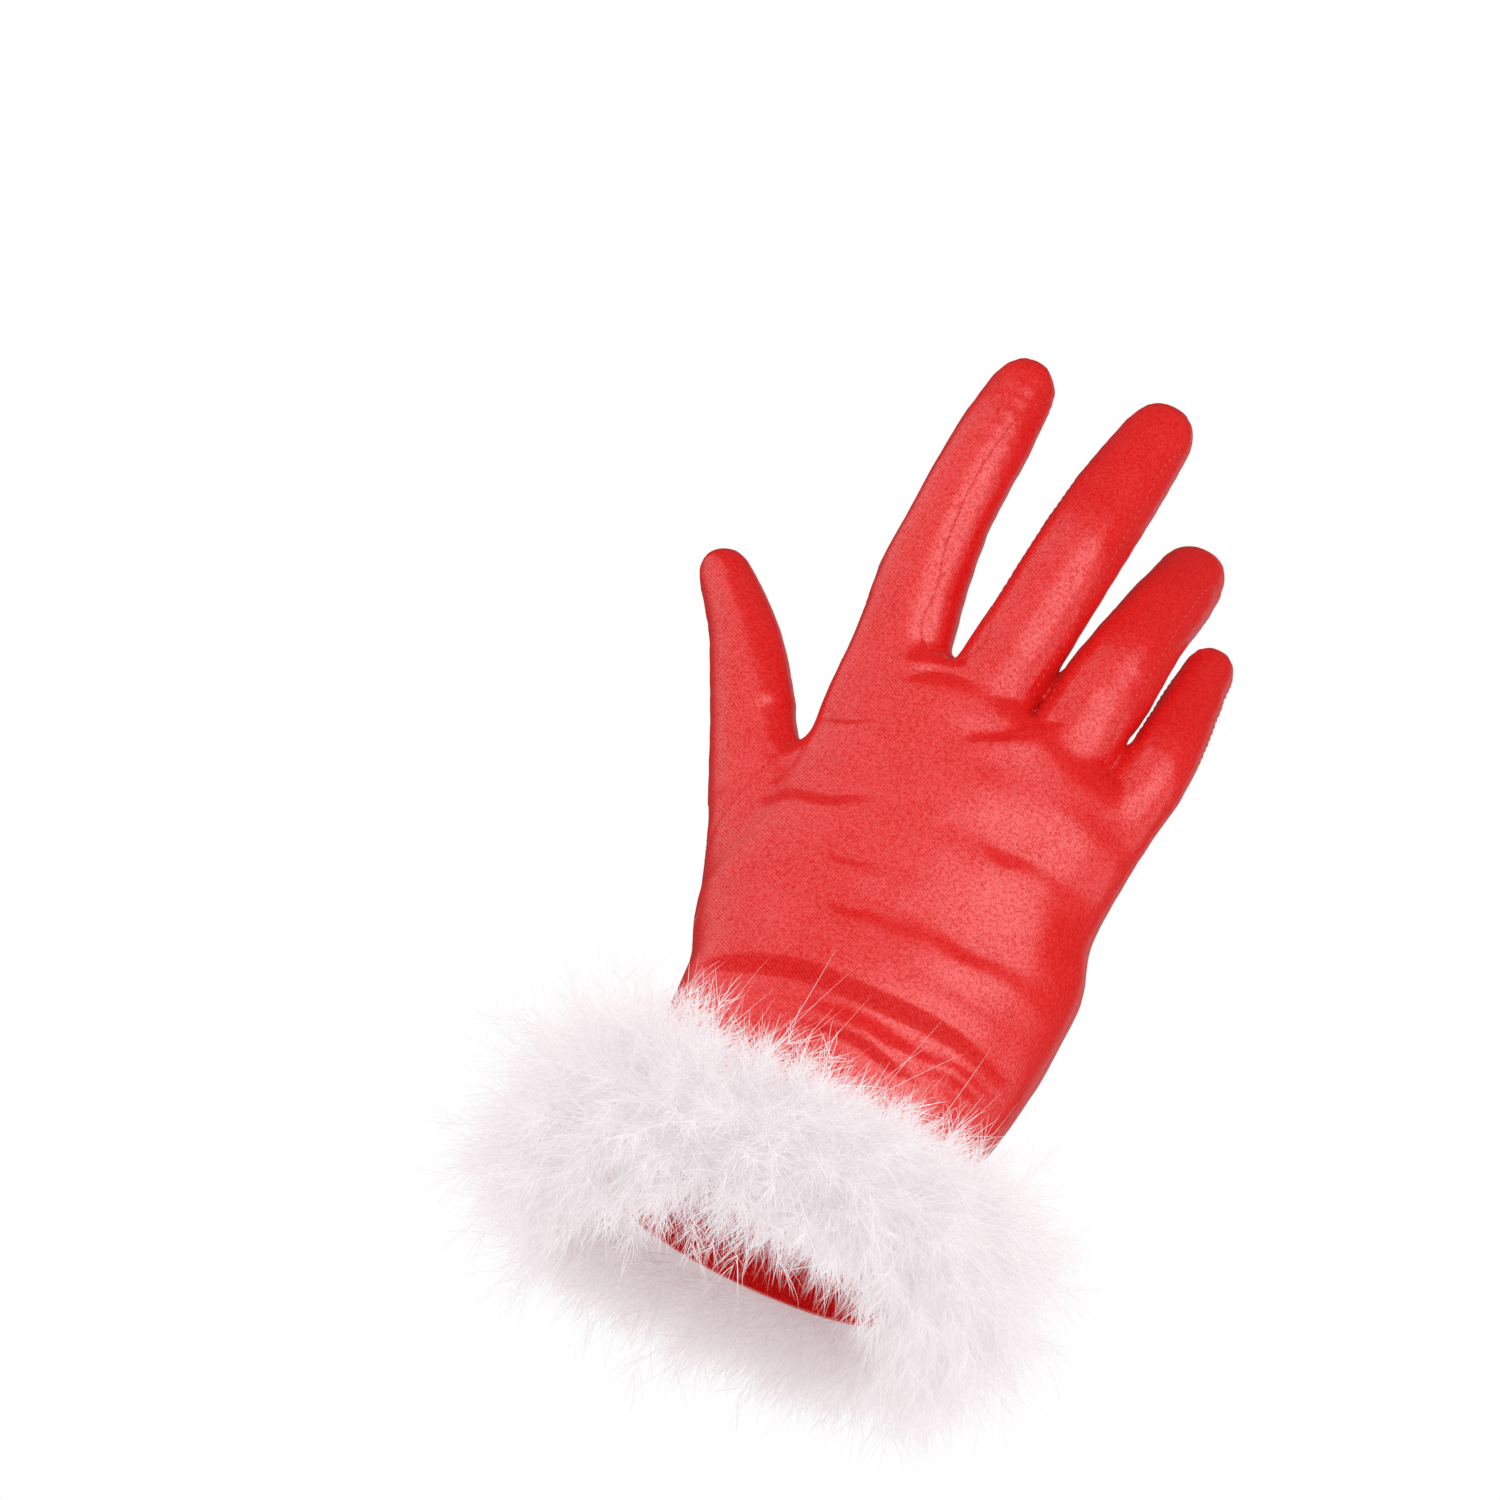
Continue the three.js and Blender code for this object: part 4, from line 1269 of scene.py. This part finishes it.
class GLOVE_OT_marabou_plumes(bpy.types.Operator):
    """Build the feathers of the trim, each a curved shaft with fine curled strands"""

    bl_idname = "glove.marabou_plumes"
    bl_label = "Marabou plumes"

    def execute(self, context):
        settings = context.scene.glove_marabou
        if settings.plumes < PLUME_PARTS or settings.barbs < 1:
            raise RuntimeError("The trim needs feathers")
        rng = np.random.default_rng(settings.seed)
        material = marabou_material("marabou_down", settings, 1.0)
        per_part = settings.plumes // PLUME_PARTS
        for part in range(PLUME_PARTS):
            spines, widths = self.plume_strands(settings, rng, per_part)
            mesh = ribbon_mesh(f"marabou_plumes_{part + 1}", spines, widths, strand_sides(spines, rng))
            piece = link_piece(f"marabou_plumes_{part + 1}", mesh, material)
            dress(piece, "marabou", "marabou_trim")
        spines, widths = self.wisp_strands(settings, rng)
        mesh = ribbon_mesh("marabou_wisps", spines, widths, strand_sides(spines, rng))
        dress(link_piece("marabou_wisps", mesh, material), "marabou", "marabou_trim")
        return {"FINISHED"}

    def shafts(self, rng, count, stretch, sides=(0, 360), slants=(-112, 112)):
        """Curved shafts that leave the cord between two sides and two slants, as even steps of points."""
        around = np.radians(rng.uniform(*sides, count))
        fan = np.radians(rng.uniform(*slants, count))
        reach = trim_at(around, "reach") * MM
        droop = trim_at(around, "droop") * MM
        outward = np.stack([np.cos(around), np.sin(around), 0 * around], axis=1)
        along = np.stack([-np.sin(around), np.cos(around), 0 * around], axis=1)
        up = np.array([0, 0, 1.0])
        root = cuff_point(around, CORD_RADIUS * MM, 4 * MM * np.sin(fan))
        start = outward * np.cos(fan)[:, None] + up * np.sin(fan)[:, None]
        start = unit(start + along * rng.normal(0.3, 0.3, count)[:, None])
        stand = trim_at(around, "upright")
        stand = np.where(fan < 0, np.minimum(stand, 1), stand)
        flat = 1 - (1 - stand) * np.abs(np.sin(fan)) ** 1.5
        length = (reach - CORD_RADIUS * MM) * flat * rng.uniform(*SHAFT_LENGTHS, count) * stretch
        curl = unit(rng.normal(size=(count, 3)) + along * 0.6) * rng.uniform(*SHAFT_CURLS, count)[:, None]
        t = np.linspace(0, 1, SHAFT_STEPS)[None, :, None]
        spine = root[:, None] + start[:, None] * length[:, None, None] * t
        spine = spine + curl[:, None] * length[:, None, None] * t * t
        spine = spine - up * droop[:, None, None] * t * t * rng.uniform(*SHAFT_DROOPS, count)[:, None, None]
        return on_middle_line(self.clear_of_wrist(spine))

    def clear_of_wrist(self, spines):
        """Pushes strands out of the cuff's oval."""
        cuff = HAND_ROWS[1]
        x, y = spines[..., 0], spines[..., 1]
        share = np.hypot(x / ((cuff[1] + 0.6) * MM), y / ((cuff[2] + 0.6) * MM))
        push = np.maximum(1, 1 / np.maximum(share, 0.2))
        return spines * np.stack([push, push, np.ones_like(push)], axis=-1)

    def plume_strands(self, settings, rng, count):
        """The strands of a number of feathers, which leave their shafts on all sides and curl forward."""
        shafts = self.shafts(rng, count, PLUME_STRETCH)
        barbs = settings.barbs
        where = rng.uniform(0.12, 1.0, (count, barbs)) ** 0.85
        index = where * (shafts.shape[1] - 1)
        low = np.minimum(index.astype(int), shafts.shape[1] - 2)
        part = (index - low)[..., None]
        row = np.arange(count)[:, None]
        root = shafts[row, low] * (1 - part) + shafts[row, low + 1] * part
        ahead = unit(shafts[row, low + 1] - shafts[row, low])
        sideways = unit(np.cross(ahead, rng.normal(size=(count, barbs, 3))))
        lean = rng.uniform(*BARB_LEANS, (count, barbs, 1))
        start = unit(ahead * lean + sideways)
        size = settings.barb_length * rng.uniform(*BARB_LENGTHS, (count, barbs)) * (1 - 0.4 * where)
        curl = unit(rng.normal(size=(count, barbs, 3)) + ahead * 1.2)
        t = np.linspace(0, 1, len(BARB_TAPER))[None, None, :, None]
        span = size[..., None, None]
        spine = root[:, :, None] + start[:, :, None] * span * t * (1 - 0.25 * t)
        spine = spine + curl[:, :, None] * span * 0.3 * t * t
        spine = spine - np.array([0, 0, 1.0]) * span * 0.12 * t * t
        spine = self.clear_of_wrist(spine.reshape(-1, len(BARB_TAPER), 3))
        widths = settings.barb_width * np.array(BARB_TAPER) * rng.uniform(*BARB_WIDTHS, (len(spine), 1))
        return spine, widths

    def wisp_strands(self, settings, rng):
        """Single long strands all round, and longer ones that lie over the satin of the back."""
        all_round = self.shafts(rng, settings.wisps, WISP_STRETCH)
        strays = settings.wisps // WISPS_PER_STRAY
        over_satin = self.shafts(rng, strays, STRAY_STRETCH, STRAY_SIDES, STRAY_SLANTS)
        shafts = np.concatenate([all_round, over_satin])
        taper = np.linspace(1.0, 0.15, shafts.shape[1])
        widths = settings.barb_width * 1.3 * taper[None, :] * np.ones((len(shafts), 1))
        return shafts, widths


class GLOVE_OT_stage(bpy.types.Operator):
    """Set the camera, the softbox and the pale floor"""

    bl_idname = "glove.stage"
    bl_label = "Stage"

    def execute(self, context):
        settings = context.scene.glove_stage
        scene = context.scene
        if settings.span <= 0 or settings.distance <= 0:
            raise RuntimeError("The camera needs a distance and a width")
        self.place_camera(scene, settings)
        self.softbox("key_softbox", Vector(KEY_PLACE), settings.key_watts)
        self.softbox("rear_fill", Vector(REAR_PLACE), settings.key_watts / 2)
        self.light_room(scene, settings)
        scene.view_settings.view_transform = "Standard"
        self.lay_floor()
        return {"FINISHED"}

    def place_camera(self, scene, settings):
        """Puts the camera where the photo was taken from, leaning as the hand does."""
        az, lift = settings.azimuth, -settings.elevation
        across = Vector((math.cos(az), math.sin(az), 0))
        upright = Vector((math.sin(az) * math.sin(lift), -math.cos(az) * math.sin(lift), math.cos(lift)))
        back = across.cross(upright)
        centre = Vector(WRIST_MARK) * MM - across * VIEW_SHIFT[0] * MM + upright * VIEW_SHIFT[1] * MM
        right = across * math.cos(settings.roll) + upright * math.sin(settings.roll)
        up = upright * math.cos(settings.roll) - across * math.sin(settings.roll)
        lens = bpy.data.cameras.new("photo_view")
        lens.sensor_width = SENSOR_WIDTH
        lens.lens = SENSOR_WIDTH * settings.distance / settings.span
        lens.clip_start = 0.01
        camera = bpy.data.objects.new("photo_view", lens)
        camera.matrix_world = Matrix((right, up, back)).transposed().to_4x4()
        camera.location = centre + back * settings.distance
        scene.collection.objects.link(camera)
        scene.camera = camera

    def light_room(self, scene, settings):
        """Sets a pale room that lights the glove from all round, and what its shine sees there."""
        world = bpy.data.worlds.new("pale_room")
        world.use_nodes = True
        tree = world.node_tree
        shown = tree.nodes["Background"]
        set_inputs(shown, {"Color": (1, 1, 1, 1), "Strength": 1.0})
        lit = add_node(tree, "ShaderNodeBackground", {"Color": (1, 0.985, 0.98, 1)})
        ray = add_node(tree, "ShaderNodeLightPath")
        shine = self.mirrored_room(tree, Vector(KEY_PLACE).normalized(), settings.mirrored)
        glossy = ray.outputs["Is Glossy Ray"]
        mirrored = math_node(tree, "MULTIPLY", shine, glossy)
        matt = math_node(tree, "SUBTRACT", 1.0, glossy)
        plain = math_node(tree, "MULTIPLY", matt, self.soft_light(tree, settings.ambient))
        tree.links.new(math_node(tree, "ADD", mirrored, plain), lit.inputs["Strength"])
        mix = add_node(tree, "ShaderNodeMixShader")
        tree.links.new(ray.outputs["Is Camera Ray"], mix.inputs["Fac"])
        tree.links.new(lit.outputs[0], mix.inputs[1])
        tree.links.new(shown.outputs[0], mix.inputs[2])
        tree.links.new(mix.outputs[0], tree.nodes["World Output"].inputs["Surface"])
        scene.world = world

    def lay_floor(self):
        """Lays a pale floor so far below that it hides nothing in a view from below."""
        work = bmesh.new()
        bmesh.ops.create_grid(work, x_segments=1, y_segments=1, size=FLOOR_HALF)
        bmesh.ops.translate(work, verts=work.verts, vec=(0, 0, -FLOOR_DEPTH))
        mesh = mesh_from(work, "pale_floor")
        paint, _, shader = new_material("pale_floor")
        set_inputs(shader, {"Base Color": (0.9, 0.9, 0.9, 1), "Roughness": 0.8})
        floor = link_piece("pale_floor", mesh, paint)
        floor.visible_glossy = False

    def soft_light(self, tree, ambient):
        """The light from all round, weaker from above."""
        _, parts = split_place(tree, "Generated")
        return ramp(tree, parts["Z"], 0.1, 0.8, low=ambient, high=ambient * 0.6)

    def mirrored_room(self, tree, key_direction, radiances):
        """What the satin's shine sees: a dark room, a pale wall in front, and the glow round the key."""
        dark, wall, key = radiances
        place, parts = split_place(tree, "Generated")

        def share_of(direction):
            node = add_node(tree, "ShaderNodeVectorMath", operation="DOT_PRODUCT")
            tree.links.new(place, node.inputs[0])
            node.inputs[1].default_value = direction
            return node.outputs["Value"]

        above = ramp(tree, parts["Z"], -0.15, 0.1)
        below = ramp(tree, share_of(WALL_TOP), 0.57, 0.49)
        front = ramp(tree, parts["Y"], 0.7, 0.05)
        glow = ramp(tree, share_of(key_direction), 0.85, 0.99)
        band = math_node(tree, "MULTIPLY", math_node(tree, "MULTIPLY", above, below), front)
        lit_wall = math_node(tree, "ADD", math_node(tree, "MULTIPLY", band, wall), dark)
        return math_node(tree, "ADD", math_node(tree, "MULTIPLY", glow, key), lit_wall)

    def softbox(self, name, offset, watts):
        """A round lamp at a place from the glove's middle, turned to it."""
        lamp = bpy.data.lights.new(name, "AREA")
        lamp.shape = "DISK"
        lamp.size = LAMP_SIZE
        lamp.energy = watts
        light = bpy.data.objects.new(name, lamp)
        light.visible_camera = False
        light.location = Vector(GLOVE_MIDDLE) * MM + offset
        light.rotation_euler = (-offset).to_track_quat("-Z", "Y").to_euler()
        bpy.context.scene.collection.objects.link(light)


class GLOVE_PT_panel(bpy.types.Panel):
    """Lists the pieces of the glove and the stage"""

    bl_idname = "GLOVE_PT_panel"
    bl_label = "Costume Glove"
    bl_space_type = "VIEW_3D"
    bl_region_type = "UI"
    bl_category = "Glove"

    def draw(self, context):
        for settings in (context.scene.glove_satin, context.scene.glove_marabou, context.scene.glove_stage):
            box = self.layout.box()
            for name in settings.__annotations__:
                box.prop(settings, name)
        for operator in OPERATORS:
            self.layout.operator(operator.bl_idname)


OPERATORS = (GLOVE_OT_satin, GLOVE_OT_marabou_core, GLOVE_OT_marabou_plumes, GLOVE_OT_stage)
CLASSES = (SatinSettings, MarabouSettings, StageSettings, *OPERATORS, GLOVE_PT_panel)


def register():
    for cls in CLASSES:
        bpy.utils.register_class(cls)
    bpy.types.Scene.glove_satin = bpy.props.PointerProperty(type=SatinSettings)
    bpy.types.Scene.glove_marabou = bpy.props.PointerProperty(type=MarabouSettings)
    bpy.types.Scene.glove_stage = bpy.props.PointerProperty(type=StageSettings)


def unregister():
    del bpy.types.Scene.glove_satin
    del bpy.types.Scene.glove_marabou
    del bpy.types.Scene.glove_stage
    for cls in reversed(CLASSES):
        bpy.utils.unregister_class(cls)


def main():
    register()
    bpy.ops.glove.satin()
    bpy.ops.glove.marabou_core()
    bpy.ops.glove.marabou_plumes()
    bpy.ops.glove.stage()


if __name__ == "__main__":
    main()
